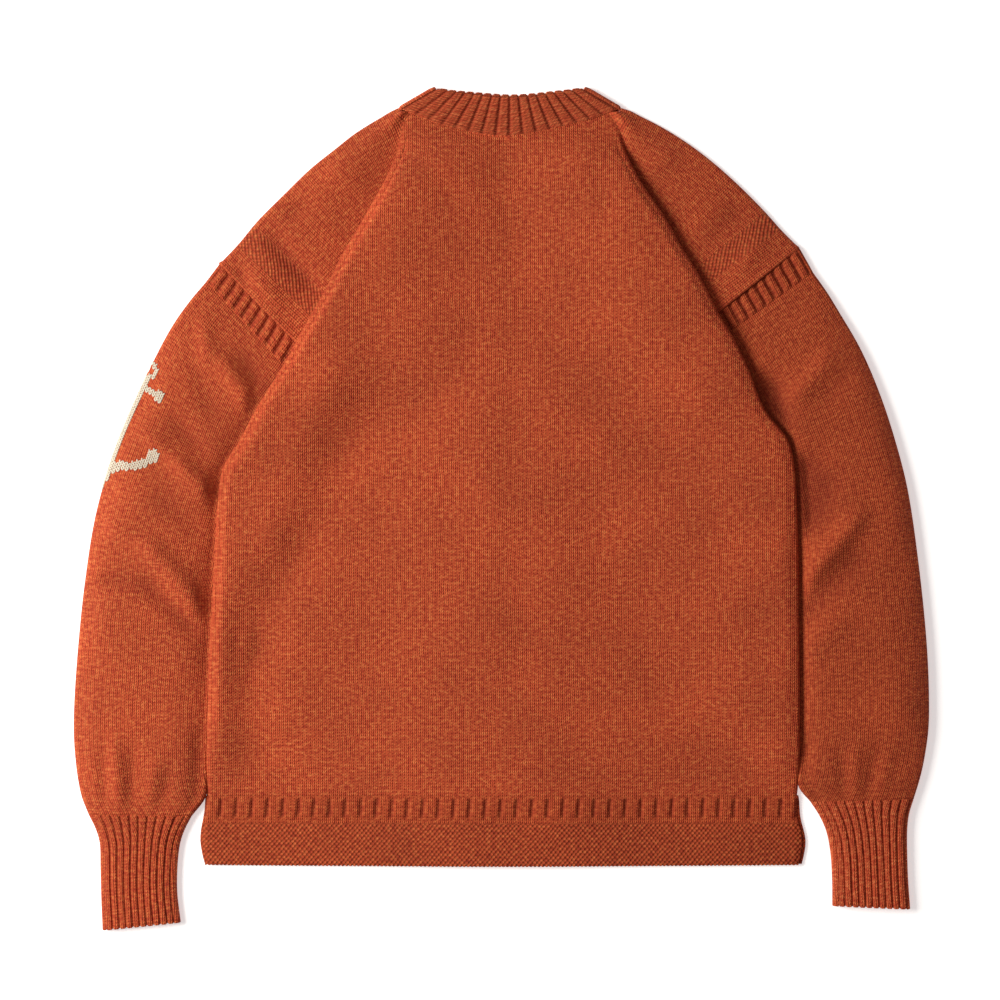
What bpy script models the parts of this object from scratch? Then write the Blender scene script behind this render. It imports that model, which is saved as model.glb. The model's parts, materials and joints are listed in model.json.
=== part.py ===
"""Fisherman cardigan in marled rust wool, laid face down on a flat surface.

X runs across the garment, Y from hem to neck, Z up from the surface. Tables are in
millimetres. The knitted walls are 2.4 mm thick and lie 3.2 mm apart, middle to middle.
At each shoulder back and front are tucked together, so the body lies over the armhole.
"""
import math

import bpy
import numpy as np

THICK = 2.4
HALF = THICK / 2
PITCH = 3.2
SEAM = 0.3
FLOOR_MID = HALF
BACK_MID = HALF + PITCH
CENTRE = 4.0
BAND_HALF = 16.0
LAP = 4.4
EDGE_ROLL = 3.2
PLEAT_ROLL = 4.8
TUCK_ROLL = 1.6
NECK_ROLL = 2.1

WOOL = ("rust_marl_wool", (0.41, 0.074, 0.028, 1.0), 0.9)
RIB_WOOL = ("rust_marl_rib", (0.36, 0.062, 0.026, 1.0), 0.92)
HORN = ("brown_horn_button", (0.062, 0.028, 0.014, 1.0), 0.42)

# Rows from the neck to the underarm: centre height, pleat edge left and right,
# shoulder outline left and right, turn of the pleat in degrees, depth of the tuck.
PLEAT_ROWS = [
    # centre_y, left_x, left_y, right_x, right_y, out_lx, out_ly, out_rx, out_ry, turn, tuck
    (325.3, -79.0, 345.7, 93.0, 345.5, -90.6, 350.9, 105.4, 350.9, 10, 1.0),
    (317.0, -86.0, 331.0, 102.0, 331.0, -97.5, 347.6, 113.0, 348.4, 25, 1.5),
    (306.0, -90.5, 314.0, 107.6, 315.5, -105.5, 342.9, 122.0, 343.9, 65, 2.0),
    (299.5, -93.3, 306.6, 110.2, 309.0, -111.0, 339.7, 127.4, 341.2, 90, 2.0),
    (293.0, -96.5, 299.0, 113.2, 302.0, -116.5, 336.4, 133.0, 338.4, 115, 2.0),
    (278.5, -103.5, 284.0, 121.4, 286.0, -129.5, 328.0, 146.5, 330.9, 155, 2.5),
    (262.0, -112.5, 268.0, 131.5, 271.2, -146.5, 314.6, 165.0, 319.0, 180, 6.0),
    (243.0, -125.6, 245.0, 143.9, 252.9, -167.5, 297.8, 186.0, 303.0, 180, 11.0),
    (221.0, -140.4, 219.8, 157.1, 229.2, -190.0, 276.0, 208.0, 283.4, 180, 17.0),
    (199.0, -154.2, 191.0, 169.3, 210.0, -214.0, 251.9, 230.2, 261.1, 180, 21.0),
    (178.0, -167.0, 168.6, 179.5, 191.4, -230.9, 231.6, 246.5, 243.0, 180, 25.0),
    (158.0, -179.8, 145.2, 189.4, 171.5, -247.2, 214.4, 261.2, 228.4, 180, 29.0),
]

# Rows from the underarm to the hem: centre height, side edge left and right.
SIDE_ROWS = [
    # centre_y, left_x, left_y, right_x, right_y
    (138.0, -186.0, 133.0, 200.6, 152.6),
    (114.0, -197.4, 114.4, 215.0, 123.6),
    (85.0, -214.6, 86.6, 230.6, 85.6),
    (58.0, -230.4, 57.2, 250.6, 59.6),
    (34.0, -244.0, 34.4, 256.6, 36.0),
    (0.0, -248.9, 0.0, 258.8, 0.0),
    (-48.0, -251.7, -48.0, 260.2, -48.0),
    (-98.0, -254.2, -98.0, 260.6, -98.0),
    (-148.0, -256.6, -148.0, 261.1, -148.0),
    (-196.0, -257.8, -196.0, 261.3, -196.0),
    (-214.0, -258.3, -214.0, 261.3, -214.0),
    (-233.0, -258.7, -233.0, 261.0, -233.0),
    (-252.6, -258.7, -252.6, 259.4, -252.6),
]

# Below the underarm the side lies on the sleeve: how high, and how far in.
SIDE_REST = [
    # y, lift, level
    (112.0, 12.8, 50.0),
    (70.0, 9.8, 41.0),
    (20.0, 6.8, 36.0),
    (-70.0, 6.8, 32.0),
    (-130.0, 6.8, 29.0),
    (-176.0, 6.8, 21.0),
    (-202.0, 6.8, 12.0),
    (-213.0, 6.5, 9.0),
    (-232.0, 2.6, 8.0),
    (-250.0, 0.0, 8.0),
    (-320.0, 0.0, 8.0),
]

# Front neckline, one point for each of the first seven rows.
FRONT_NECK = [
    # left_x, right_x, y
    (-80.0, 93.8, 338.0),
    (-76.8, 91.0, 328.5),
    (-70.0, 84.0, 313.0),
    (-64.5, 78.5, 305.5),
    (-57.0, 71.0, 298.0),
    (-36.0, 50.0, 284.0),
    (-12.3, 20.3, 274.0),
]

# Sleeve crossings from the armhole to the cuff.
LEFT_SLEEVE = [
    # outer_x, outer_y, inner_x, inner_y, outer_roll, inner_roll, puff
    (-259.0, 198.6, -166.2, 97.2, 1.9, 1.6, 0.6),
    (-274.5, 180.0, -178.0, 85.5, 2.3, 1.6, 2.2),
    (-290.9, 155.8, -190.0, 71.0, 2.8, 1.6, 4.0),
    (-317.2, 103.2, -211.0, 40.0, 3.3, 1.6, 6.4),
    (-339.1, 50.8, -220.0, 12.0, 3.6, 1.6, 8.0),
    (-354.8, -1.8, -224.4, -15.0, 3.8, 1.6, 8.6),
    (-365.0, -63.0, -227.6, -69.0, 3.8, 1.6, 8.6),
    (-371.4, -124.2, -233.4, -126.0, 3.8, 1.6, 8.2),
    (-374.6, -172.4, -243.6, -172.4, 3.8, 1.6, 7.8),
    (-374.9, -198.6, -254.6, -198.6, 3.8, 1.8, 7.4),
    (-373.8, -217.0, -260.4, -217.0, 3.7, 2.0, 6.8),
    (-371.2, -238.0, -260.6, -238.0, 3.5, 2.4, 6.0),
    (-368.0, -253.0, -261.6, -253.4, 3.3, 2.9, 4.6),
    (-362.0, -268.4, -271.5, -269.6, 3.2, 3.2, 3.0),
]
RIGHT_SLEEVE = [
    # outer_x, outer_y, inner_x, inner_y, outer_roll, inner_roll, puff
    (273.4, 206.5, 173.0, 135.0, 1.9, 1.6, 0.6),
    (284.6, 190.6, 183.6, 117.6, 2.3, 1.6, 2.2),
    (295.3, 173.2, 195.6, 97.6, 2.8, 1.6, 4.0),
    (315.4, 138.3, 206.0, 71.0, 3.3, 1.6, 6.0),
    (332.9, 97.1, 222.6, 46.0, 3.5, 1.6, 7.2),
    (346.9, 53.4, 228.0, 18.0, 3.7, 1.6, 8.2),
    (356.2, 15.8, 231.4, -7.0, 3.8, 1.6, 8.6),
    (366.4, -54.2, 235.0, -60.0, 3.8, 1.6, 8.6),
    (373.2, -124.2, 239.2, -126.0, 3.8, 1.6, 8.2),
    (374.9, -172.4, 246.6, -173.0, 3.8, 1.6, 7.8),
    (374.2, -195.0, 256.4, -196.0, 3.8, 1.8, 7.2),
    (371.6, -214.6, 263.0, -214.6, 3.6, 2.0, 6.4),
    (367.2, -235.6, 263.0, -235.6, 3.4, 2.4, 5.0),
    (361.4, -254.8, 270.8, -257.2, 3.2, 3.2, 3.0),
]
LEFT_HEAD = [
    (-247.2, 214.4, -157.0, 121.6, 1.6, 1.6, 0.0),
    (-250.0, 210.6, -159.4, 115.4, 1.7, 1.6, 0.1),
    (-256.0, 202.6, -164.0, 102.8, 1.8, 1.6, 0.4),
    (-259.0, 198.6, -166.2, 97.2, 1.9, 1.6, 0.6),
]
RIGHT_HEAD = [
    (261.2, 228.4, 166.0, 153.0, 1.6, 1.6, 0.0),
    (264.4, 222.8, 168.0, 148.2, 1.7, 1.6, 0.1),
    (271.0, 211.0, 171.6, 138.8, 1.8, 1.6, 0.4),
    (273.4, 206.5, 173.0, 135.0, 1.9, 1.6, 0.6),
]
LEFT_CUFF = [
    (-362.0, -268.4, -271.5, -269.6, 3.2, 3.2, 2.8),
    (-356.0, -280.6, -277.6, -281.4, 3.2, 3.2, 2.4),
    (-352.4, -293.0, -281.6, -293.4, 3.2, 3.2, 2.1),
    (-351.6, -316.0, -284.0, -314.0, 3.2, 3.2, 1.9),
    (-351.0, -341.0, -284.2, -337.0, 3.2, 3.2, 1.8),
    (-349.8, -368.9, -281.3, -361.9, 3.2, 3.2, 1.7),
]
RIGHT_CUFF = [
    (361.4, -254.8, 270.8, -257.2, 3.2, 3.2, 2.8),
    (357.4, -268.0, 278.6, -269.2, 3.2, 3.2, 2.4),
    (355.8, -282.0, 284.6, -282.8, 3.2, 3.2, 2.1),
    (355.8, -303.0, 288.4, -302.6, 3.2, 3.2, 1.9),
    (356.6, -326.0, 289.8, -325.0, 3.2, 3.2, 1.8),
    (358.3, -350.4, 290.0, -347.4, 3.2, 3.2, 1.7),
]

# Neckband: seam and free edge over the back, then round the front neckline.
BAND_BACK = [
    # seam_x, seam_y, free_x, free_y
    (-90.6, 350.9, -60.8, 368.3),
    (-62.6, 338.8, -46.0, 365.2),
    (-33.7, 330.0, -30.0, 363.4),
    (-13.6, 326.1, -14.0, 361.8),
    (7.4, 325.3, 7.4, 360.4),
    (29.3, 328.4, 28.0, 361.6),
    (50.3, 333.2, 44.0, 363.6),
    (80.0, 341.0, 60.0, 365.6),
    (105.4, 350.9, 75.7, 368.3),
]
BAND_FRONT_FREE = [
    # left_x, right_x, y
    (-53.5, 68.0, 352.0),
    (-46.5, 60.5, 338.0),
    (-37.0, 51.0, 325.0),
    (-27.0, 41.0, 315.0),
    (-12.3, 20.3, 306.0),
]


def smooth(t):
    """Eases from 0 to 1 with flat ends."""
    t = np.clip(t, 0.0, 1.0)
    return t * t * (3.0 - 2.0 * t)


def unit(vector):
    vector = np.asarray(vector, float)
    return vector / np.linalg.norm(vector)


def pleat_radii(turn):
    """Rolls of the back at the pleat's edge and at its hidden fold, for a turn in radians."""
    return max(PLEAT_ROLL, 3.0 / turn), max(TUCK_ROLL, 1.5 / turn)


def pleat_drop(turn, tuck):
    """Height of the body above the shoulder layer beside it."""
    edge, hidden = pleat_radii(turn)
    return (edge + hidden) * (1.0 - math.cos(turn)) + tuck * math.sin(turn)


def side_profile(side):
    """Edge position, lift and level width against height y, for one side of the body."""
    rows = []
    for row in PLEAT_ROWS:
        turn = math.radians(row[9])
        x, y = (row[1], row[2]) if side < 0 else (row[3], row[4])
        rows.append((y, abs(x), pleat_drop(turn, row[10]), 12.0 + 1.3 * row[10]))
    edge_y = [row[2] if side < 0 else row[4] for row in SIDE_ROWS][::-1]
    edge_x = [abs(row[1] if side < 0 else row[3]) for row in SIDE_ROWS][::-1]
    for y, lift, level in SIDE_REST:
        rows.append((y, float(np.interp(y, edge_y, edge_x)), lift, level))
    rows = np.array(sorted(rows))
    ys = np.concatenate([edge_y, [row[0] for row in rows if row[0] > edge_y[-1]]])
    xs = np.concatenate([edge_x, [row[1] for row in rows if row[0] > edge_y[-1]]])
    return ys, xs, rows[:, 0], rows[:, 2], rows[:, 3]


PROFILE = {-1: side_profile(-1), 1: side_profile(1)}


def lift(x, y, late=0.0):
    """Rise of the body toward its sides, where it lies on the tuck or on the sleeve."""
    x, y = np.asarray(x, float), np.asarray(y, float)
    total = np.zeros(np.broadcast(x, y).shape)
    for side in (-1, 1):
        edge_y, edge_x, ys, tops, levels = PROFILE[side]
        edge = np.interp(y, edge_y, edge_x)
        top = np.interp(y, ys, tops)
        level = np.interp(y, ys, levels)
        ramp = np.maximum(25.0, 3.7 * top)
        inside = edge - side * x
        total = total + top * smooth((level + ramp - late - inside) / ramp)
    return total


def swell(x, y):
    """Rise of the back over the lapped front bands."""
    across = 1.0 - smooth((np.abs(np.asarray(x) - CENTRE) - 18.5) / 30.0)
    return LAP * across * (1.0 - smooth((np.asarray(y) - 312.0) / 24.0))


def neck_ease(y):
    """The back lies a little higher above the fronts toward the neck."""
    return 1.0 * smooth((np.asarray(y) - 311.0) / 19.0)


def back_z(x, y):
    return BACK_MID + neck_ease(y) + lift(x, y) + swell(x, y)


def front_z(x, y):
    step = 1.0 - smooth((np.asarray(x) - CENTRE - 18.5) / 30.0)
    return FLOOR_MID + lift(x, y, 3.0) + np.where(np.asarray(x) > CENTRE, LAP * step, 0.0)


def add_body(name, vertices, faces, material):
    """Makes one object from millimetre vertices, faces turned outward."""
    vertices = np.asarray(vertices, float)
    volume = 0.0
    for face in faces:
        a = vertices[face[0]]
        for second, third in zip(face[1:-1], face[2:]):
            volume += np.dot(a, np.cross(vertices[second], vertices[third]))
    if volume < 0:
        faces = [tuple(reversed(face)) for face in faces]
    mesh = bpy.data.meshes.new(name)
    mesh.from_pydata([tuple(point) for point in vertices * 0.001], [], faces)
    mesh.update()
    mesh.validate()
    body = bpy.data.objects.new(name, mesh)
    bpy.context.scene.collection.objects.link(body)
    slot, colour, rough = material
    shade = bpy.data.materials.new(f"{slot}.{name}")
    shade.use_nodes = True
    node = shade.node_tree.nodes["Principled BSDF"]
    node.inputs["Base Color"].default_value = colour
    node.inputs["Roughness"].default_value = rough
    mesh.materials.append(shade)
    return body


def grid_normals(middle, keep, closed):
    """Unit normals of a grid of points, summed from its kept cells."""
    rows, cols = middle.shape[:2]
    normals = np.zeros_like(middle)
    for i in range(rows - 1):
        for j in range(cols if closed else cols - 1):
            if not keep[i, j]:
                continue
            k = (j + 1) % cols
            corners = ((i, j), (i, k), (i + 1, k), (i + 1, j))
            a, b, c, d = (middle[corner] for corner in corners)
            cell = np.cross(c - a, b - d)
            size = np.linalg.norm(cell)
            if size > 1e-12:
                for corner in corners:
                    normals[corner] += cell / size
    lengths = np.linalg.norm(normals, axis=2, keepdims=True)
    return normals / np.where(lengths < 1e-9, 1.0, lengths)


def cloth_wall(name, middle, material, keep=None, relief=None, closed=False, thick=THICK):
    """Thickens a grid of middle points into one closed wall.

    Each point moves half the thickness to both sides along its normal. Relief is
    added on the outer side only. Rims close every free edge of the kept cells.
    """
    middle = np.asarray(middle, float)
    rows, cols = middle.shape[:2]
    across = cols if closed else cols - 1
    if keep is None:
        keep = np.ones((rows - 1, across), bool)
    if relief is None:
        relief = np.zeros((rows, cols))
    normals = grid_normals(middle, keep, closed)
    if closed:
        away = middle - middle.mean(axis=1, keepdims=True)
        sign = np.sign((away * normals).sum())
    else:
        sign = np.sign(normals[rows // 2, cols // 2, 2])
    normals = normals * (sign if sign else 1.0)
    outer = middle + normals * (thick / 2 + relief)[..., None]
    inner = middle - normals * (thick / 2)
    vertices, index = [], {}

    def vertex(side, i, j):
        key = (side, i, j)
        if key not in index:
            index[key] = len(vertices)
            vertices.append(outer[i, j] if side else inner[i, j])
        return index[key]

    faces = []
    for i in range(rows - 1):
        for j in range(across):
            if not keep[i, j]:
                continue
            k = (j + 1) % cols
            ring = ((i, j), (i, k), (i + 1, k), (i + 1, j))
            faces.append(tuple(vertex(1, *corner) for corner in ring))
            faces.append(tuple(vertex(0, *corner) for corner in reversed(ring)))
            left = (j - 1) % cols if closed else j - 1
            right = (j + 1) % cols if closed else j + 1
            beside = (
                (i == 0 or not keep[i - 1, j]),
                ((not closed and right >= across) or not keep[i, right % across]),
                (i == rows - 2 or not keep[i + 1, j]),
                ((not closed and left < 0) or not keep[i, left % across]),
            )
            for n, free in enumerate(beside):
                if free:
                    a, b = ring[n], ring[(n + 1) % 4]
                    rim = (vertex(1, *b), vertex(1, *a), vertex(0, *a), vertex(0, *b))
                    faces.append(rim)
    return add_body(name, vertices, faces, material)


SWELL_COLUMNS = (18.5, 28.5, 38.5, 48.5)
LIFT_COLUMNS = (1.0, 0.7, 0.35, 0.0)
ROLL_STEPS = 5
TUCK_STEPS = 4
ARM_STEPS = 3


def outline_normals(side):
    """Plan directions across the shoulder outline and the pleat edge, row by row."""
    pick = (5, 6) if side < 0 else (7, 8)
    edge = (1, 2) if side < 0 else (3, 4)
    outline = np.array([[row[pick[0]], row[pick[1]]] for row in PLEAT_ROWS])
    fold = np.array([[row[edge[0]], row[edge[1]]] for row in PLEAT_ROWS])
    out, across = [], []
    for n in range(len(PLEAT_ROWS)):
        before, after = max(n - 1, 0), min(n + 1, len(PLEAT_ROWS) - 1)
        run = unit(outline[after] - outline[before])
        out.append(np.array([-run[1], run[0]]) * (-side) * -1.0)
        run = unit(fold[after] - fold[before])
        square = np.array([-run[1], run[0]]) * (-side) * -1.0
        if square[0] * side < 0:
            square = -square
        if out[-1][1] < 0:
            out[-1] = -out[-1]
        share = (n / (len(PLEAT_ROWS) - 1)) ** 2
        direct = unit(outline[n] - fold[n])
        across.append(unit(square * (1 - share) + direct * share))
        out[-1] = unit(out[-1] * (1 - share) + direct * share)
    return outline, fold, out, across


def pleat_columns(side, row, is_back, fold, out, across, outline):
    """Middle points from the pleat's start, round its rolls, to the shoulder outline."""
    turn, tuck = math.radians(PLEAT_ROWS[row][9]), PLEAT_ROWS[row][10]
    edge_b, hidden_b = pleat_radii(turn)
    edge, hidden = (edge_b, hidden_b) if is_back else (edge_b - PITCH, hidden_b + PITCH)
    low = BACK_MID + float(neck_ease(fold[row][1])) if is_back else FLOOR_MID
    top = low + pleat_drop(turn, tuck)
    direction = across[row]
    start = fold[row] - direction * (HALF + edge_b * math.sin(min(turn, math.pi / 2)))
    points = []
    for step in range(ROLL_STEPS + 1):
        angle = turn * step / ROLL_STEPS
        points.append((edge * math.sin(angle), top - edge * (1 - math.cos(angle))))
    far = (points[-1][0] + tuck * math.cos(turn), points[-1][1] - tuck * math.sin(turn))
    for step in range(TUCK_STEPS + 1):
        rest = turn * (1 - step / TUCK_STEPS)
        along = far[0] + hidden * (math.sin(turn) - math.sin(rest))
        points.append((along, far[1] - hidden * (math.cos(rest) - math.cos(turn))))
    columns = [(*(start + direction * a), z) for a, z in points]
    last = np.array(columns[-1])
    inset = HALF + EDGE_ROLL if is_back else HALF + 2.2
    end = np.array([*(outline[row] - out[row] * inset), low])
    columns += [tuple(last + (end - last) * n / ARM_STEPS) for n in range(1, ARM_STEPS + 1)]
    if is_back:
        for angle in (30, 60, 90):
            slide = HALF + EDGE_ROLL * (1 - math.sin(math.radians(angle)))
            height = low - EDGE_ROLL * (1 - math.cos(math.radians(angle)))
            columns.append((*(outline[row] - out[row] * slide), height))
        x, y, z = columns[-1]
        columns.append((x, y, z - 0.8))
    return columns


def side_columns(side, row, is_back, count):
    """Middle points round the side edge of a row below the underarm."""
    points = np.array([(r[1], r[2]) if side < 0 else (r[3], r[4]) for r in SIDE_ROWS])
    before, after = max(row - 1, 0), min(row + 1, len(points) - 1)
    run = unit(points[after] - points[before])
    out = np.array([-run[1], run[0]])
    if out[0] * side < 0:
        out = -out
    share = (0.45, 0.8)[row] if row < 2 else 1.0
    roll = PLEAT_ROLL + (EDGE_ROLL - PLEAT_ROLL) * share
    edge = points[row]
    if not is_back:
        end = edge - out * (HALF + PLEAT_ROLL + (2.2 - PLEAT_ROLL) * share)
        return [(end[0], end[1], None)] * count
    columns = [(*(edge - out * (HALF + roll)), None)]
    high = float(back_z(*columns[0][:2]))
    for angle in (30, 60, 90):
        slide = HALF + roll * (1 - math.sin(math.radians(angle)))
        height = high - roll * (1 - math.cos(math.radians(angle)))
        columns.append((*(edge - out * slide), height))
    x, y, z = columns[-1]
    columns.append((x, y, z - 0.8))
    return columns + [columns[-1]] * (count - len(columns))


def neck_height(x):
    """Height of the back neck seam at x."""
    table = np.array(BAND_BACK)
    return np.interp(x, table[:, 0], table[:, 1])


def inner_distances(side, begin, end, spread):
    """Distances from the centre line of the points between a row's start and its pleat."""
    first, last = abs(begin[0] - CENTRE), abs(end[0] - CENTRE)
    total = 1 + len(SWELL_COLUMNS) + len(LIFT_COLUMNS)
    if spread:
        return np.linspace(first, last, total + 1)[:-1]
    if first < 18.0:
        near = [first, *SWELL_COLUMNS]
    else:
        near = list(np.linspace(first, max(48.5, first + 4.0), 1 + len(SWELL_COLUMNS)))
    edge_y, edge_x, ys, tops, levels = PROFILE[side]
    edge = np.interp(end[1], edge_y, edge_x) - side * CENTRE
    level = np.interp(end[1], ys, levels)
    ramp = max(25.0, 3.7 * np.interp(end[1], ys, tops))
    low = max(edge - level - ramp, near[-1] + 4.0)
    high = min(max(edge - level, low + 8.0), last - 1.5)
    low = min(low, high - 4.0)
    return np.array(near + [low + (high - low) * (1 - part) for part in LIFT_COLUMNS])


def half_panel(side, is_back, start_x, start_rows=None):
    """Rows of middle points from the start line outward, with how many are real."""
    outline, fold, out, across = outline_normals(side)
    rows, valid = [], []
    count = None
    for row in range(len(PLEAT_ROWS) + len(SIDE_ROWS)):
        if row < len(PLEAT_ROWS):
            fold_row, start_fold = fold, None
            if not is_back and row < 2:
                fold_row = fold.copy()
                shift = ((-8.6, -4.0), (8.6, -4.0)) if row == 0 else ((-2.0, -1.0), (2.0, -1.0))
                fold_row[row] = fold[row] + np.array(shift[side > 0])
            columns = pleat_columns(side, row, is_back, fold_row, out, across, outline)
            count = len(columns)
            centre_y = PLEAT_ROWS[row][0]
            real = count
        else:
            low = row - len(PLEAT_ROWS)
            columns = side_columns(side, low, is_back, count)
            centre_y = SIDE_ROWS[low][0]
            real = 5 if is_back else 1
        begin = np.array([start_x, centre_y])
        if start_rows is not None and row < len(start_rows):
            begin = np.array(start_rows[row])
        end = np.array(columns[0][:2])
        line = []
        spread = not is_back and row < 3
        for n, distance in enumerate(inner_distances(side, begin, end, spread)):
            x = CENTRE + side * distance
            share = (x - begin[0]) / (end[0] - begin[0])
            if spread:
                share = n / (1 + len(SWELL_COLUMNS) + len(LIFT_COLUMNS))
            y = begin[1] + (end[1] - begin[1]) * (share if spread else share ** 2)
            if is_back and row < 4:
                weight = (1.0, 0.6, 0.3, 0.1)[row]
                arc = (neck_height(x) - 325.3) / (neck_height(end[0]) - 325.3)
                y = y * (1 - weight) + (begin[1] + (end[1] - begin[1]) * arc) * weight
            z = float(back_z(x, y) if is_back else front_z(x, y))
            if is_back and 1 <= row <= 6:
                z += 0.9 * math.sin(math.pi * share)
            line.append((x, y, z))
        first = columns[0]
        if first[2] is None:
            z = float(back_z(*first[:2]) if is_back else front_z(*first[:2]))
            columns = [(x, y, z if height is None else height) for x, y, height in columns]
        rows.append(line + columns)
        valid.append(len(line) + real)
    return np.array(rows), np.array(valid)


def build_back():
    left, left_real = half_panel(-1, True, CENTRE)
    right, right_real = half_panel(1, True, CENTRE)
    middle = np.concatenate([left[:, :0:-1], right], axis=1)
    rows, cols = middle.shape[:2]
    half = left.shape[1] - 1
    keep = np.zeros((rows - 1, cols - 1), bool)
    for i in range(rows - 1):
        a = min(left_real[i], left_real[i + 1]) - 1
        b = min(right_real[i], right_real[i + 1]) - 1
        keep[i, half - a:half + b] = True
    return cloth_wall("back", middle, WOOL, keep)


def build_front(side):
    start = CENTRE + side * (BAND_HALF + SEAM)
    neck = [((row[0] if side < 0 else row[1]), row[2]) for row in FRONT_NECK]
    middle, real = half_panel(side, False, start, neck)
    rows, cols = middle.shape[:2]
    keep = np.zeros((rows - 1, cols - 1), bool)
    for i in range(rows - 1):
        keep[i, :min(real[i], real[i + 1]) - 1] = True
    return cloth_wall("front_left" if side < 0 else "front_right", middle, WOOL, keep)


def rib_phase(count, flat=0.46):
    """Positions along one row of ribs, and whether each is on top of a rib."""
    shares, high = [], []
    for n in range(count):
        for phase, level in ((0.0, 0.0), (0.5 - flat / 2, 1.0), (0.5 + flat / 2, 1.0)):
            shares.append((n + phase) / count)
            high.append(level)
    return np.array(shares + [1.0]), np.array(high + [0.0])


def build_back_welt():
    """Ladder rib with the split garter welt below it, one strip across the back."""
    shares, high = rib_phase(38)
    depths = [
        # y, left_x, right_x, rib height
        (-252.9, -258.9, 259.4, 0.0),
        (-255.4, -259.0, 259.2, 1.1),
        (-269.6, -260.2, 257.9, 1.1),
        (-272.4, -261.0, 258.6, 0.0),
        (-292.0, -263.4, 262.8, 0.0),
        (-311.6, -259.8, 260.2, 0.0),
    ]
    middle, relief = [], []
    for y, left, right, rib in depths:
        xs = left + (right - left) * shares
        ys = np.full_like(xs, y)
        if y < -300:
            ys = ys - 1.2 * (1 - np.abs((xs - CENTRE) / 262.0) ** 2)
        middle.append(np.stack([xs, ys, back_z(xs, ys)], axis=1))
        relief.append(high * rib)
    return cloth_wall("back_welt", np.array(middle), WOOL, relief=np.array(relief))


def build_front_welt(side):
    edges = ((-252.9, 256.4), (-271.0, 257.6), (-292.0, 262.2), (-311.6, 259.4))
    middle = []
    for y, width in edges:
        xs = [CENTRE + side * distance for distance in (BAND_HALF + SEAM, *SWELL_COLUMNS)]
        xs = np.array(xs + [side * width * 0.5, side * width])
        ys = np.full_like(xs, y)
        middle.append(np.stack([xs, ys, front_z(xs, ys)], axis=1))
    name = "front_welt_left" if side < 0 else "front_welt_right"
    return cloth_wall(name, np.array(middle), WOOL)


def path_at(table, shares):
    """Points along a polyline at shares of its length."""
    table = np.asarray(table, float)
    steps = np.linalg.norm(np.diff(table, axis=0), axis=1)
    along = np.concatenate([[0.0], np.cumsum(steps)]) / steps.sum()
    return np.stack([np.interp(shares, along, table[:, n]) for n in (0, 1)], axis=1)


def build_neckband():
    """Ribbed strip: left front, fold, back in ribs, fold, right front."""
    depth = np.array([0.0, 0.06, 0.34, 0.66, 0.93, 1.0])
    rib_rows = np.array([0.0, 1.0, 1.0, 1.0, 1.0, 0.25])
    columns, relief = [], []

    def add(seam, free, heights, level):
        away = unit(free - seam)
        seam = seam + away * 0.5
        points = [seam + (free - seam) * share for share in depth]
        columns.append([(*point, height) for point, height in zip(points, heights(points))])
        relief.append(rib_rows * level)

    def on_floor(points):
        return [float(front_z(*point)) for point in points]

    def on_back(points):
        return [float(back_z(*point)) for point in points]

    def corner(side, order):
        row = BAND_BACK[0] if side < 0 else BAND_BACK[-1]
        seam, free = np.array(row[:2]), np.array(row[2:])
        run = unit(free - seam)
        out = np.array([-run[1], run[0]])
        if out[0] * side < 0:
            out = -out
        seam = seam + run * 0.6
        for angle in order:
            turn = math.radians(angle)
            slide = out * (-(HALF + NECK_ROLL) + NECK_ROLL * math.sin(turn))
            height = FLOOR_MID + NECK_ROLL * (1 + math.cos(turn))
            add(seam + slide, free + slide, lambda p, h=height: [h] * len(p), 0.0)

    def front(side, reverse):
        pick = 0 if side < 0 else 1
        seams = [(row[pick], row[2]) for row in FRONT_NECK]
        frees = [(row[pick], row[2]) for row in BAND_FRONT_FREE]
        shares = np.linspace(0.0, 1.0, 13)
        pairs = list(zip(path_at(seams, shares), path_at(frees, shares)))
        for seam, free in (reversed(pairs) if reverse else pairs):
            add(seam, free, on_floor, 0.0)

    front(-1, True)
    corner(-1, (180, 135, 90, 45, 0))
    shares, high = rib_phase(16)
    table = np.array(BAND_BACK)
    seams = path_at(table[:, :2], 0.022 + 0.956 * shares)
    frees = path_at(table[:, 2:], 0.042 + 0.916 * shares)
    for seam, free, level in zip(seams, frees, high):
        add(seam, free, on_back, level * 1.1)
    corner(1, (0, 45, 90, 135, 180))
    front(1, False)
    middle = np.array(columns).transpose(1, 0, 2)
    return cloth_wall("neckband", middle, RIB_WOOL, relief=np.array(relief).T)


def seen_width(outer, inner, side):
    """Length of a sleeve crossing outside the body's side edge."""
    edge_y, edge_x = PROFILE[side][0], PROFILE[side][1]
    shares = np.linspace(0.0, 1.0, 400)
    line = outer + (inner - outer) * shares[:, None]
    covered = side * line[:, 0] < np.interp(line[:, 1], edge_y, edge_x)
    share = shares[np.argmax(covered)] if covered.any() else 1.0
    return share * np.linalg.norm(inner - outer)


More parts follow.
